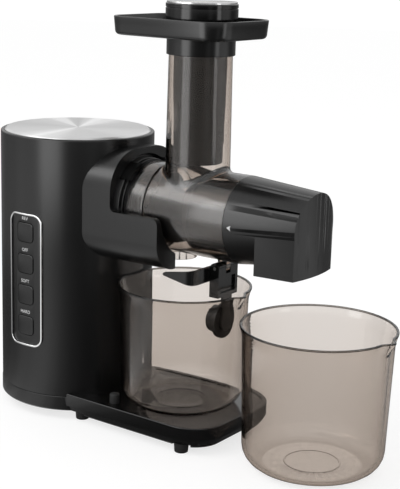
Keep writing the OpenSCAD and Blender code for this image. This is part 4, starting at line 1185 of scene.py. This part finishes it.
@dataclass
class Drum:
    """Smoked drum with its feed chute and spout, and the screw and strainer inside it."""

    radius: float = 37.6
    wall: float = 2.8
    collar_x: float = 85.5
    collar_end: float = 106
    spigot_l: float = 9
    chute_foot: float = 27.9
    chute_top_r: float = 26.8
    chute_wall: float = 2.0
    chute_top: float = 347
    fillet: float = 5
    spout_x: float = 118.8
    spout_r: float = 13.3
    spout_z: float = 156.05
    pin: Point = (166.8, 155)
    screw_x: Point = (96, 206)
    screw_r: float = 29.6
    turns: float = 3.5

    def build(self, shop: Workshop) -> None:
        """Makes the drum, the screw and the strainer's parts."""
        drum = shop.publish(
            self.shell(), "drum_smoked", SMOKED_DARK, Body.FRAME, ("juicing_chamber", "feed_chute"),
            angle=30,
        )
        drum.data.materials.append(SMOKED.material())
        foot = (LAYOUT.axis_z + self.radius + self.fillet) / 1000
        for face in drum.data.polygons:
            if face.center.z > foot:
                face.material_index = 1
        shop.publish(self.screw(), "press_screw", SCREW_PLASTIC, Body.OUTPUT, ("auger",), angle=40)
        shop.dress(STEEL, "auger_nose", "auger_coupling", "lever_pin")
        shop.dress(SCREW_PLASTIC, "strainer_frame")
        shop.dress(MESH_STEEL, "strainer_mesh")
        shop.dress(SEAL, "shaft_seal")

    def shell(self) -> bpy.types.Object:
        """The drum's clear body: outer solid, less its bores."""
        z, r, joint = LAYOUT.axis_z, self.radius, LAYOUT.joint_x
        end = joint + self.spigot_l
        centre = (0, 0, z)
        outer = rounded(
            [
                (0, 74, 0), (29.6, 74, 0.4), (29.6, self.collar_x, 0), (r + 0.6, self.collar_x, 0.6),
                (r + 0.6, self.collar_end, 0.6), (r - 1, self.collar_end, 0.2), (r - 1, self.collar_end + 2.2, 0.2),
                (r, self.collar_end + 2.2, 0.6), (r, joint, 0.4), (r - 2.5, joint, 0), (r - 2.5, end, 0.6), (0, end, 0),
            ],
            closed=False, steps=4,
        )
        drum = Shape().lathe(outer, Axis.ALONG, centre, 144).object("drum")
        carve(drum, self.chute(), Cut.ADD)
        spout = self.spout_r + 2.2
        tube = [(0, self.spout_z), (spout, self.spout_z), (spout, z - 10), (0, z - 10)]
        carve(drum, Shape().lathe(tube, centre=(self.spout_x, 0, 0), steps=72), Cut.ADD)
        lug = Shape().slab((9.4, 24.7), 0, (-3, 3), Plane.SIDE, (self.pin[0], self.pin[1] + 12.3))
        carve(drum, lug, Cut.ADD)
        knuckle = Shape().lathe([(0, -3.0), (4.7, -3.0), (4.7, 3.0), (0, 3.0)], Axis.ACROSS, (self.pin[0], 0, self.pin[1]), 40)
        carve(drum, knuckle, Cut.ADD)
        bore = [(0, 70), (18.2, 70), (18.2, 88), (r - self.wall, 88), (r - self.wall, joint - 2), (r - 4.6, joint - 2), (r - 4.6, 240), (0, 240)]
        carve(drum, Shape().lathe(rounded([(a, b, 0.0) for a, b in bore], False), Axis.ALONG, centre, 144), Cut.TAKE)
        rear = [(0, 70), (27.2, 70), (27.2, 85), (0, 85)]
        carve(drum, Shape().lathe(rear, Axis.ALONG, centre, 96), Cut.TAKE)
        feed = [
            (0, z), (self.chute_foot + 0.6 - self.chute_wall, z),
            (self.chute_top_r - self.chute_wall, self.chute_top + 0.01),
            (self.chute_top_r - self.chute_wall, self.chute_top + 5), (0, self.chute_top + 5),
        ]
        carve(drum, Shape().lathe(feed, centre=(LAYOUT.chute_x, 0, 0), steps=96), Cut.TAKE)
        drain = [(0, self.spout_z - 5), (self.spout_r, self.spout_z - 5), (self.spout_r, z), (0, z)]
        carve(drum, Shape().lathe(drain, centre=(self.spout_x, 0, 0), steps=72), Cut.TAKE)
        pin = Shape().lathe([(0, -9), (1.6, -9), (1.6, 9), (0, 9)], Axis.ACROSS, (self.pin[0], 0, self.pin[1]), 24)
        return carve(drum, pin, Cut.TAKE)

    def chute(self) -> Shape:
        """The feed chute, whose foot flows into the drum along their shared edge."""
        z, f = LAYOUT.axis_z, self.fillet
        foot = z + self.radius + f
        rows = [math.pi / 2 * k / 8 for k in range(9)]
        outline = [(0, z + 4), (self.chute_foot + f - 2, z + 4)]
        outline += [(self.chute_foot + f * (1 - math.cos(t)), foot - f * math.sin(t)) for t in reversed(rows)]
        outline += [(self.chute_top_r, self.chute_top), (0, self.chute_top)]
        outer = self.radius

        def settle(co: Vector) -> Vector:
            """Lowers the foot's points on to the drum's round surface."""
            if z + 5 < co.z <= foot + 0.01 and math.hypot(co.x, co.y) > 1:
                drop = outer - math.sqrt(outer**2 - min(abs(co.y), outer - 1) ** 2)
                return Vector((co.x, co.y, co.z - drop - 0.12))
            return co

        return Shape().lathe(outline, centre=(LAYOUT.chute_x, 0, 0), steps=96, shape=settle)

    def screw(self) -> Shape:
        """The press screw: a tapered core with a helical flight."""
        z = LAYOUT.axis_z
        x0, x1 = self.screw_x
        core = rounded([(0, x0, 0), (12, x0, 0.8), (21, x1, 0.8), (0, x1, 0)], closed=False)
        shape = Shape().lathe(core, Axis.ALONG, (0, 0, z), 64)
        part = bmesh.new()
        profile = rounded([(9, 0, 0), (self.screw_r, 2.6, 0.8), (self.screw_r, 4.9, 0.8), (9, 7.5, 0)], steps=3)
        verts = [part.verts.new((x0 + v, u, z)) for u, v in profile]
        edges = [part.edges.new(pair) for pair in zip(verts, verts[1:] + verts[:1])]
        steps = int(self.turns * 48)
        reach = x1 - x0 - 7.6
        bmesh.ops.spin(
            part, geom=verts + edges, cent=(0, 0, z), axis=(1, 0, 0), dvec=(reach / steps, 0, 0),
            angle=2 * math.pi * self.turns, steps=steps, use_merge=False, use_duplicate=False,
        )
        bmesh.ops.holes_fill(part, edges=[e for e in part.edges if e.is_boundary], sides=0)
        return shape._take(part, Matrix.Identity(4))


@dataclass
class EndCap:
    """Cap over the drum's front with the pulp outlet under it, its seal, bush and mark."""

    front_x: float = 257.6
    half_w: float = 30
    up: float = 32.4
    down: float = 36.6
    box_x: float = 219
    wall: float = 2.2
    bulge: float = 130
    rear_r: float = 37.6
    gap: float = 0.15

    def build(self, shop: Workshop) -> None:
        """Makes the cap and its mark."""
        shop.publish(
            self.shell(), "end_cap_shell", SATIN_BLACK, Body.CAP, ("end_cap",), bevel=0.4,
            angle=40,
        )
        shop.publish(self.mark(), "cap_mark", LETTERING, Body.CAP)
        shop.dress(SEAL, "cap_seal")
        shop.dress(NYLON, "auger_bush")

    def circle(self, radius: float, up: float, count: int = 96) -> list[Point]:
        """A ring of points in Y and Z whose top lies at a height over the drum's axis."""
        z = LAYOUT.axis_z + up - radius
        return [
            (radius * math.cos(2 * math.pi * k / count), z + radius * math.sin(2 * math.pi * k / count))
            for k in range(count)
        ]

    def solid(self, x0: float, rear: float, front: float, up: float, box: tuple[float, float, float], bulge: float) -> bpy.types.Object:
        """The cap's outside or inside: a skewed cone and a tapered box behind a bulged front.

        Args:
            x0: Where the cone starts.
            rear: Its radius there.
            front: Its radius at the front.
            up: Height of its top over the drum's axis at the front.
            box: Where the box starts, how far its sides are drawn in, and its depth.
            bulge: Radius of the front face.
        """
        z = LAYOUT.axis_z
        cone = Shape().loft([(self.circle(rear, rear), x0), (self.circle(front, up), self.front_x)]).object("cap")
        start, inset, down = box
        share = (self.box_x - LAYOUT.joint_x) / (self.front_x - LAYOUT.joint_x)
        wide = self.rear_r + (self.half_w - self.rear_r) * share - 0.4 - inset
        narrow = self.half_w - 0.4 - inset
        rings = [
            ([(-w, z - down), (w, z - down), (w, z), (-w, z)], x) for w, x in ((wide, start), (narrow, self.front_x))
        ]
        carve(cone, Shape().loft(rings), Cut.ADD)
        front_face = Shape().lathe(
            [(0, 100), (bulge, 100), (bulge, 300), (0, 300)], centre=(self.front_x - self.bulge, 0, 0), steps=720
        )
        return carve(cone, front_face, Cut.KEEP)

    def shell(self) -> bpy.types.Object:
        """The cap with its rounded front, hollow, bush seat and bayonet groove."""
        z, joint = LAYOUT.axis_z, LAYOUT.joint_x
        raw = self.solid(
            joint + self.gap, self.rear_r, self.half_w, self.up, (self.box_x, 0, self.down), self.bulge
        )
        shape = Shape()
        shape.bm.from_mesh(raw.data)
        bpy.data.objects.remove(raw)
        bmesh.ops.dissolve_limit(shape.bm, angle_limit=math.radians(0.2), verts=shape.bm.verts, edges=shape.bm.edges)
        shape.bevel(0.9, 45, 3, lambda p: p.x > 252.0 and p.z > z - self.down + 0.5)
        cap = shape.object("cap")
        w = self.wall
        inside = self.solid(
            joint + 10.5, self.rear_r - w - 0.3 - 1.2, self.half_w - w, self.up - w,
            (self.box_x + w, w, self.down + 1), self.bulge - w,
        )
        hollow = Shape()
        hollow.bm.from_mesh(inside.data)
        bpy.data.objects.remove(inside)
        carve(cap, hollow, Cut.TAKE)
        boss = [(0, 218), (10.5, 218), (10.5, 256.4), (0, 256.4)]
        carve(cap, Shape().lathe(boss, Axis.ALONG, (0, 0, z), 48), Cut.ADD)
        bore = [
            (0, joint - 3), (35.25, joint - 3), (35.25, joint + 2.7), (36.4, joint + 2.7), (36.4, joint + 6.5),
            (35.25, joint + 6.5), (35.25, joint + 11), (0, joint + 11),
        ]
        carve(cap, Shape().lathe(bore, Axis.ALONG, (0, 0, z), 128), Cut.TAKE)
        seat = [(0, 210), (8, 210), (8, 228), (0, 228)]
        return carve(cap, Shape().lathe(seat, Axis.ALONG, (0, 0, z), 48), Cut.TAKE)

    def mark(self) -> Shape:
        """The white arrow that shows where the cap locks."""
        z = LAYOUT.axis_z
        shape = Shape().prism([(193.0, z), (197.0, z + 2.3), (196.2, z), (197.0, z - 2.3)], (-37.2, -36.7), Plane.SIDE)
        return shape.bevel(0.1, 60, 1)


@dataclass
class Hopper:
    """Tray on the feed chute, the pusher in it and the pusher's steel cap."""

    size: Point = (118, 86)
    centre_x: float = 125
    low: float = 347
    top: float = 362.7
    wall: float = 2.5
    corner: float = 20
    lean: float = 1.5
    foot_r: float = 3.2
    basin_r: float = 3.0
    collar_r: float = 29
    collar_low: float = 332.7
    head_r: float = 30.4
    head_top: float = 375.2
    stem: tuple[float, float, float] = (21.2, 23.0, 241.5)

    def build(self, shop: Workshop) -> None:
        """Makes the tray, pusher and steel cap."""
        shop.publish(self.tray(), "tray_shell", TRAY_BLACK, Body.TRAY, ("hopper_tray",), angle=30)
        shop.publish(
            self.pusher(), "pusher_body", GLOSS_BLACK, Body.PUSHER, ("pusher", "pusher_head")
        )
        cap = rounded(
            [
                (0, self.head_top, 0), (self.head_r - 0.9, self.head_top, 0),
                (self.head_r - 0.9, self.head_top + 1.6, 0.6), (0, self.head_top + 1.6, 0),
            ],
            closed=False,
        )
        shop.publish(
            Shape().lathe(cap, centre=(LAYOUT.chute_x, 0, 0), steps=128), "pusher_steel", CAP_STEEL, Body.PUSHER,
            ("pusher_cap",),
        )

    def edge(self, inset: float) -> list[Point]:
        """The tray's outline, drawn in by an inset."""
        u, v, r = self.size[0] / 2 - inset, self.size[1] / 2 - inset, self.corner - inset
        x = self.centre_x
        return rounded([(x - u, -v, r), (x + u, -v, r), (x + u, v, r), (x - u, v, r)], steps=16)

    def tray(self) -> bpy.types.Object:
        """The tray: one wall that runs up, over the rim and down into the basin, with collar and hole."""
        w, turn = self.wall, [math.pi / 2 * k / 6 for k in range(7)]
        lean = self.lean / (self.top - self.low)
        floor = self.low + w
        rings = []
        for t in turn:
            z = self.low + self.foot_r * (1 - math.cos(t))
            rings.append((self.edge(self.foot_r * (1 - math.sin(t)) + lean * (self.top - z)), z))
        for t in turn[1:]:
            rings.append((self.edge(0.8 * (1 - math.cos(t))), self.top - 0.8 * (1 - math.sin(t))))
        for t in turn[:-1]:
            rings.append((self.edge(w - 0.6 * (1 - math.sin(t))), self.top - 0.6 * (1 - math.cos(t))))
        for t in turn:
            z = floor + self.basin_r * (1 - math.sin(t))
            rings.append((self.edge(w + lean * (self.top - z) + self.basin_r * (1 - math.cos(t))), z))
        tray = Shape().loft(rings, Plane.TOP).object("tray")
        x = LAYOUT.chute_x
        r, low = self.collar_r, self.collar_low
        collar = rounded([(0, low, 0), (r, low, 0.6), (r, self.low + 1, 0), (0, self.low + 1, 0)], False)
        carve(tray, Shape().lathe(collar, centre=(x, 0, 0), steps=96), Cut.ADD)
        hole = [(0, 320), (27.1, 320), (27.1, self.low), (24.8, self.low), (24.8, 380), (0, 380)]
        return carve(tray, Shape().lathe(hole, centre=(x, 0, 0), steps=96), Cut.TAKE)

    def pusher(self) -> Shape:
        """The pusher's head with its groove, and its tapered stem."""
        low_r, high_r, low = self.stem
        r, top, seat = self.head_r, self.head_top, self.low + self.wall
        outline = rounded(
            [
                (0, low, 0), (low_r, low, 1.2), (high_r, seat, 0), (r, seat, 0.6), (r, top - 4.2, 0.15),
                (r - 0.7, top - 4.2, 0), (r - 0.7, top - 3.3, 0), (r, top - 3.3, 0.15), (r, top, 0.9), (0, top, 0),
            ],
            closed=False,
        )
        return Shape().lathe(outline, centre=(LAYOUT.chute_x, 0, 0), steps=128)


@dataclass
class Cup:
    """A smoked clear cup with a pouring spout, and a dented rim where it stands by the column."""

    name: str
    node: str
    body: Body
    x: float
    base_z: float
    height: float
    rim: float
    upper: float
    lower: float
    nest: float = 0.0
    wall: float = 2.2
    lip: float = 2.2
    corner: float = 18
    flare: float = 14
    pour_h: float = 18
    pour_w: float = 9
    pour_out: float = 5.0
    pinch: float = 0.5
    # Height of the top rim band that gets the painted shade.
    painted_rim_shade_h: float = 1.3
    nest_wall: float = 2.0
    ring: tuple[float, float, float] = (22.5, 24, 0.4)

    def build(self, shop: Workshop) -> None:
        """Makes the cup, and gives the faces of its top rim band a darker copy of the smoked plastic: painted shade."""
        cup = shop.publish(self.shell(), self.name, SMOKED, self.body, (self.node,), angle=60)
        # Second material: the darker smoked copy, painted shade on the top rim band.
        cup.data.materials.append(SMOKED_RIM_PAINTED_SHADE.material())
        edge = (self.base_z + self.height - self.painted_rim_shade_h) / 1000
        for face in cup.data.polygons:
            if face.center.z > edge:
                face.material_index = 1

    def shell(self) -> Shape:
        """The cup's closed wall, with its spout and dent pulled out of the turned shape."""
        h, w, c = self.height, self.wall, self.corner
        flare = [
            (self.upper + (self.rim - self.upper) * t * t, h - self.flare + (self.flare - 1.4) * t)
            for t in (0.0, 0.2, 0.4, 0.6, 0.8, 1.0)
        ]
        inner = [(u - w + (w - self.lip) * (i / 5) ** 2, v) for i, (u, v) in enumerate(flare)]
        ring0, ring1, proud = self.ring
        corners = [(0, 0, 0), (self.lower, 0, c)]
        corners += [(u, v, 2.0 if i in (1, 2, 3) else 0.0) for i, (u, v) in enumerate(flare)]
        corners += [(self.rim, h, 1.0), (self.rim - self.lip, h, 1.0)]
        corners += [(u, v, 0.0) for u, v in reversed(inner)]
        corners += [
            (self.lower - w, w, c - w), (ring1, w, 0.3), (ring1, w + proud, 0.3), (ring0, w + proud, 0.3),
            (ring0, w, 0.3), (0, w, 0),
        ]
        return Shape().lathe(
            rounded(corners, closed=False, steps=6), centre=(self.x, 0, self.base_z), steps=192, shape=self.pour
        )

    def pour(self, co: Vector) -> Vector:
        """Pulls a point out into the spout, and keeps it clear of the column."""
        up = smooth((co.z - (self.height - self.pour_h)) / self.pour_h)
        if co.x > 0:
            side = abs(co.y) / self.pour_w
            lobe = smooth(1 - side / 1.15)
            waist = smooth(1 - abs(side - 1.3) / 0.7)
            co = co + Vector(((self.pour_out * lobe - self.pinch * waist) * up, 0, 0))
        inside = math.hypot(co.x, co.y) < self.upper + (self.rim - self.upper) * up - 0.5 * self.lip
        if self.nest and co.x < 0:
            reach = Vector((co.x + self.x, co.y))
            least = self.nest + (self.nest_wall if inside else 0.0)
            if reach.length < least:
                reach.length = least
                co = Vector((reach.x - self.x, reach.y, co.z))
        return co


@dataclass
class Stopper:
    """Hinged lever that closes the juice spout, and its soft plug."""

    rounding: float = 0.6

    def build(self, shop: Workshop) -> None:
        """Makes the lever and the plug."""
        shop.rework("stopper_lever", "lever_body", LEVER_BLACK, Body.STOPPER, self.rounding)
        shop.rework("stopper_plug", "lever_plug", PLUG_GREY, Body.STOPPER, 0.5)


@dataclass
class Works:
    """Motor, gears, boards and fixings inside the shells, which keep their solids."""

    def build(self, shop: Workshop) -> None:
        """Dresses every inner node."""
        shop.dress(PANEL_BLACK, "bottom_plate")
        shop.dress(STEEL, "plate_screws", "gearbox_screws", "motor_can", "motor_bearings", "output_bearings")
        shop.dress(STEEL, "idler_shaft", "output_shaft", "output_gear")
        shop.dress(CAST, "motor_end_bell", "gearbox_case", "gearbox_cover")
        shop.dress(MAGNET, "motor_magnets")
        shop.dress(COPPER, "motor_armature")
        shop.dress(BRASS, "motor_pinion", "idler_pinion")
        shop.dress(NYLON, "idler_gear")
        shop.dress(SCREW_PLASTIC, "motor_fan")
        shop.dress(BOARD, "control_board", "power_board")


# --- studio -----------------------------------------------------------------------------------


@dataclass(frozen=True)
class Strip:
    """Upright soft box that only glossy surfaces show, with soft edges."""

    name: str
    place: Point
    target: Point
    width: float
    span: Point
    level: float

    def build(self) -> None:
        """Makes the strip's panel, turned to its target."""
        part = bmesh.new()
        bmesh.ops.create_grid(part, x_segments=1, y_segments=1, size=0.5)
        tall = self.span[1] - self.span[0]
        away = Vector(self.target) - Vector(self.place)
        turn = Matrix.Rotation(math.atan2(away.y, away.x) + math.pi / 2, 4, "Z") @ Matrix.Rotation(math.pi / 2, 4, "X")
        mesh = bpy.data.meshes.new(self.name)
        part.to_mesh(mesh)
        part.free()
        panel = bpy.data.objects.new(self.name, mesh)
        panel.matrix_world = (
            Matrix.Translation((*self.place, (self.span[0] + self.span[1]) / 2))
            @ turn
            @ Matrix.Diagonal((self.width, tall, 1, 1))
        )
        panel.visible_camera = False
        panel.visible_diffuse = False
        panel.visible_transmission = False
        panel.visible_volume_scatter = False
        panel.visible_shadow = False
        bpy.context.scene.collection.objects.link(panel)
        mesh.materials.append(self.glow())

    def glow(self) -> bpy.types.Material:
        """The panel's light, which fades out at its edges."""
        made = bpy.data.materials.new(self.name)
        made.use_nodes = True
        made.node_tree.nodes.clear()
        w = Wiring(made.node_tree)
        parts = w.add("SeparateXYZ", {0: w.add("TexCoord").outputs["Object"]})
        level: object = self.level
        for side in (0, 1):
            edge = w.math("ABSOLUTE", parts.outputs[side])
            fade = w.add("MapRange", {0: edge, 1: 0.5, 2: 0.2, 3: 0.0, 4: 1.0}, interpolation_type="SMOOTHSTEP")
            level = w.math("MULTIPLY", level, fade.outputs[0])
        light = w.add("Emission", {"Strength": level})
        clear = w.add("BsdfTransparent")
        shown = w.math("DIVIDE", level, self.level)
        both = w.add("AddShader", {0: light.outputs[0], 1: clear.outputs[0]})
        soft = w.add("MixShader", {0: shown, 1: clear.outputs[0], 2: both.outputs[0]})
        end = w.add("OutputMaterial")
        made.node_tree.links.new(soft.outputs[0], end.inputs[0])
        return made


@dataclass
class Studio:
    """Pale floor, white surroundings with two soft boxes, and the camera."""

    eye: tuple[float, float, float] = (0.61625, -0.8486, 0.4205)
    yaw: float = 0.621
    pitch: float = 0.236
    roll: float = -0.029
    lens: float = 91.13
    plain: float = 0.85
    boxes: tuple[tuple[float, float], ...] = (
        (0, 0.35), (18, 0.9), (32, 0.85), (57, 0.15), (125, 0.25), (178, 0.22), (200, 0.45), (222, 0.9),
        (245, 1.0), (262, 0.8), (283, 0.25), (296, 0.1), (320, 0.08), (333, 0.3), (345, 0.1),
    )
    near: tuple[tuple[float, float], ...] = (
        (0, 0.06), (30, 0.25), (60, 0.1), (178, 0.08), (200, 0.12), (216, 0.25), (241, 0.7), (262, 1.0),
        (272, 1.0), (281, 0.72), (293, 0.35), (305, 0.15), (320, 0.06), (345, 0.04),
    )
    bright: float = 1.5
    overhead: float = 1.15
    strips: tuple[Strip, ...] = (
        Strip("strip_left", (-0.106, -0.386), (-0.13, 0.0), 0.34, (0.02, 0.70), 2.5),
        Strip("strip_right", (0.47, 0.0), (0.0, 0.0), 0.16, (0.10, 0.55), 1.7),
        Strip("key_box", (-0.61, -0.66), (0.0, 0.0), 1.0, (0.45, 1.15), 3.2),
    )

    def build(self) -> None:
        """Makes the floor, world, lamp, strips and camera."""
        scene = bpy.context.scene
        scene.view_settings.view_transform = "Standard"
        self.world()
        self.floor()
        self.lamp()
        for strip in self.strips:
            strip.build()
        self.camera()

    def surroundings(self) -> bpy.types.NodeTree:
        """The level of the room around the object, by bearing."""
        return bearing_ramp("studio_sweep", self.boxes, self.bright)

    def within(self, w: Wiring, path: bpy.types.Node) -> bpy.types.NodeSocket:
        """Marks light that leaves a clear shell again after it was mirrored inside.

        Args:
            w: Wiring of the shader that asks.
            path: The shader's light path node.

        Returns:
            A socket that is 1 for such light, and 0 for all other.
        """
        bounced = w.math("MINIMUM", path.outputs["Glossy Depth"], 1.0)
        walls = w.math("GREATER_THAN", path.outputs["Transmission Depth"], 3.5)
        inner = w.math("MULTIPLY", bounced, walls)
        return w.math("MULTIPLY", inner, path.outputs["Is Transmission Ray"])

    def world(self) -> None:
        """White behind the object, a plain level for matt surfaces, and soft boxes for glossy ones."""
        world = bpy.data.worlds.new("studio")
        bpy.context.scene.world = world
        world.use_nodes = True
        world.node_tree.nodes.clear()
        w = Wiring(world.node_tree)
        place = w.add("TexCoord")
        sweep = w.add("Group", node_tree=self.surroundings())
        world.node_tree.links.new(place.outputs["Generated"], sweep.inputs[0])
        height = w.add("SeparateXYZ", {0: place.outputs["Generated"]}).outputs[2]
        above = w.add("MapRange", {0: height, 1: 0.0, 2: 0.25, 3: 0.0, 4: 1.0}, interpolation_type="SMOOTHSTEP")
        glossy = w.add("Mix", {0: above.outputs[0], 2: sweep.outputs[0], 3: self.overhead})
        path = w.add("LightPath")
        seen = w.math("MAXIMUM", path.outputs["Is Camera Ray"], path.outputs["Is Transmission Ray"])
        white = w.math("SUBTRACT", seen, self.within(w, path))
        first = w.add("Mix", {0: path.outputs["Is Glossy Ray"], 2: self.plain, 3: glossy.outputs[0]})
        level = w.add("Mix", {0: white, 2: first.outputs[0], 3: 1.3})
        light = w.add("Background", {"Strength": level.outputs[0]})
        end = w.add("OutputWorld")
        world.node_tree.links.new(light.outputs[0], end.inputs[0])

    def floor(self) -> None:
        """A wide pale floor that keeps the object's soft shadow."""
        part = bmesh.new()
        bmesh.ops.create_circle(part, cap_ends=True, segments=96, radius=6.0)
        mesh = bpy.data.meshes.new("floor")
        part.to_mesh(mesh)
        part.free()
        floor = bpy.data.objects.new("floor", mesh)
        bpy.context.scene.collection.objects.link(floor)
        made = bpy.data.materials.new("studio_floor")
        made.use_nodes = True
        made.node_tree.nodes.clear()
        w = Wiring(made.node_tree)
        place = w.add("TexCoord")
        around = w.add("Mapping", {"Vector": place.outputs["Object"], "Location": (0.13165, 0, 0)})
        far = w.add("Group", {0: around.outputs[0]}, node_tree=self.surroundings())
        near = w.add("Group", {0: around.outputs[0]}, node_tree=bearing_ramp("near_sweep", self.near, self.bright))
        reach = w.add("VectorMath", {0: around.outputs[0]}, operation="LENGTH").outputs["Value"]
        share = w.add("MapRange", {0: reach, 1: 0.3, 2: 0.9}, interpolation_type="SMOOTHSTEP")
        sweep = w.add("Mix", {0: share.outputs[0], 2: near.outputs[0], 3: far.outputs[0]})
        noise = w.add("TexNoise", {"Vector": place.outputs["Object"], "Scale": 3.0})
        tone = w.add("MapRange", {0: noise.outputs[0], 3: 0.955, 4: 0.965})
        matt = w.add("BsdfDiffuse", {"Color": tone.outputs[0]})
        glow = w.add("Emission", {"Strength": 1.2})
        pale = w.add("MixShader", {0: 0.62, 1: matt.outputs[0], 2: glow.outputs[0]})
        boxes = w.add("Emission", {"Strength": sweep.outputs[0]})
        path = w.add("LightPath")
        outside = w.math("SUBTRACT", path.outputs["Is Glossy Ray"], path.outputs["Is Transmission Ray"])
        mirrored = w.math("MAXIMUM", outside, self.within(w, path))
        seen = w.add("MixShader", {0: mirrored, 1: pale.outputs[0], 2: boxes.outputs[0]})
        plain = w.add("MixShader", {0: path.outputs["Is Diffuse Ray"], 1: seen.outputs[0], 2: matt.outputs[0]})
        end = w.add("OutputMaterial")
        made.node_tree.links.new(plain.outputs[0], end.inputs[0])
        mesh.materials.append(made)

    def lamp(self) -> None:
        """One large soft lamp over the left shoulder."""
        data = bpy.data.lights.new("soft_key", "AREA")
        data.shape = "DISK"
        data.size = 1.2
        data.energy = 9
        lamp = bpy.data.objects.new("soft_key", data)
        lamp.location = (-0.9, -0.9, 1.5)
        lamp.rotation_euler = (Vector((0, 0, 0.15)) - lamp.location).to_track_quat("-Z", "Y").to_euler()
        lamp.visible_glossy = False
        bpy.context.scene.collection.objects.link(lamp)

    def camera(self) -> None:
        """The camera, from its place and its three angles."""
        data = bpy.data.cameras.new("camera")
        data.lens = self.lens
        data.sensor_width = 36
        data.clip_start = 0.05
        camera = bpy.data.objects.new("camera", data)
        ahead = Vector(
            (-math.sin(self.yaw) * math.cos(self.pitch), math.cos(self.yaw) * math.cos(self.pitch), -math.sin(self.pitch))
        )
        right = Vector((math.cos(self.yaw), math.sin(self.yaw), 0))
        up = right.cross(ahead)
        side = right * math.cos(self.roll) - up * math.sin(self.roll)
        top = up * math.cos(self.roll) + right * math.sin(self.roll)
        camera.matrix_world = Matrix(
            (
                (side.x, top.x, -ahead.x, self.eye[0]), (side.y, top.y, -ahead.y, self.eye[1]),
                (side.z, top.z, -ahead.z, self.eye[2]), (0, 0, 0, 1),
            )
        )
        bpy.context.scene.collection.objects.link(camera)
        bpy.context.scene.camera = camera


def main() -> None:
    """Builds the juicer's sub-assemblies in order, then the studio around them."""
    logging.basicConfig(level=logging.INFO, format="%(name)s %(message)s")
    shop = Workshop(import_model())
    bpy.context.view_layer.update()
    Column().build(shop)
    Base().build(shop)
    ControlPanel().build(shop)
    DriveArm().build(shop)
    Drum().build(shop)
    EndCap().build(shop)
    Stopper().build(shop)
    Hopper().build(shop)
    Cup("juice_cup_clear", "juice_cup", Body.JUICE_CUP, 125.4, 23.4, 108.4, 59.5, 56.8, 54.6, nest=70.7).build(shop)
    Cup("pulp_cup_clear", "pulp_cup", Body.PULP_CUP, 263.2, 0.0, 120.9, 65.4, 62.9, 59.6).build(shop)
    Works().build(shop)
    Studio().build()
    LOG.info("%d pieces", shop.count)


if __name__ == "__main__":
    main()
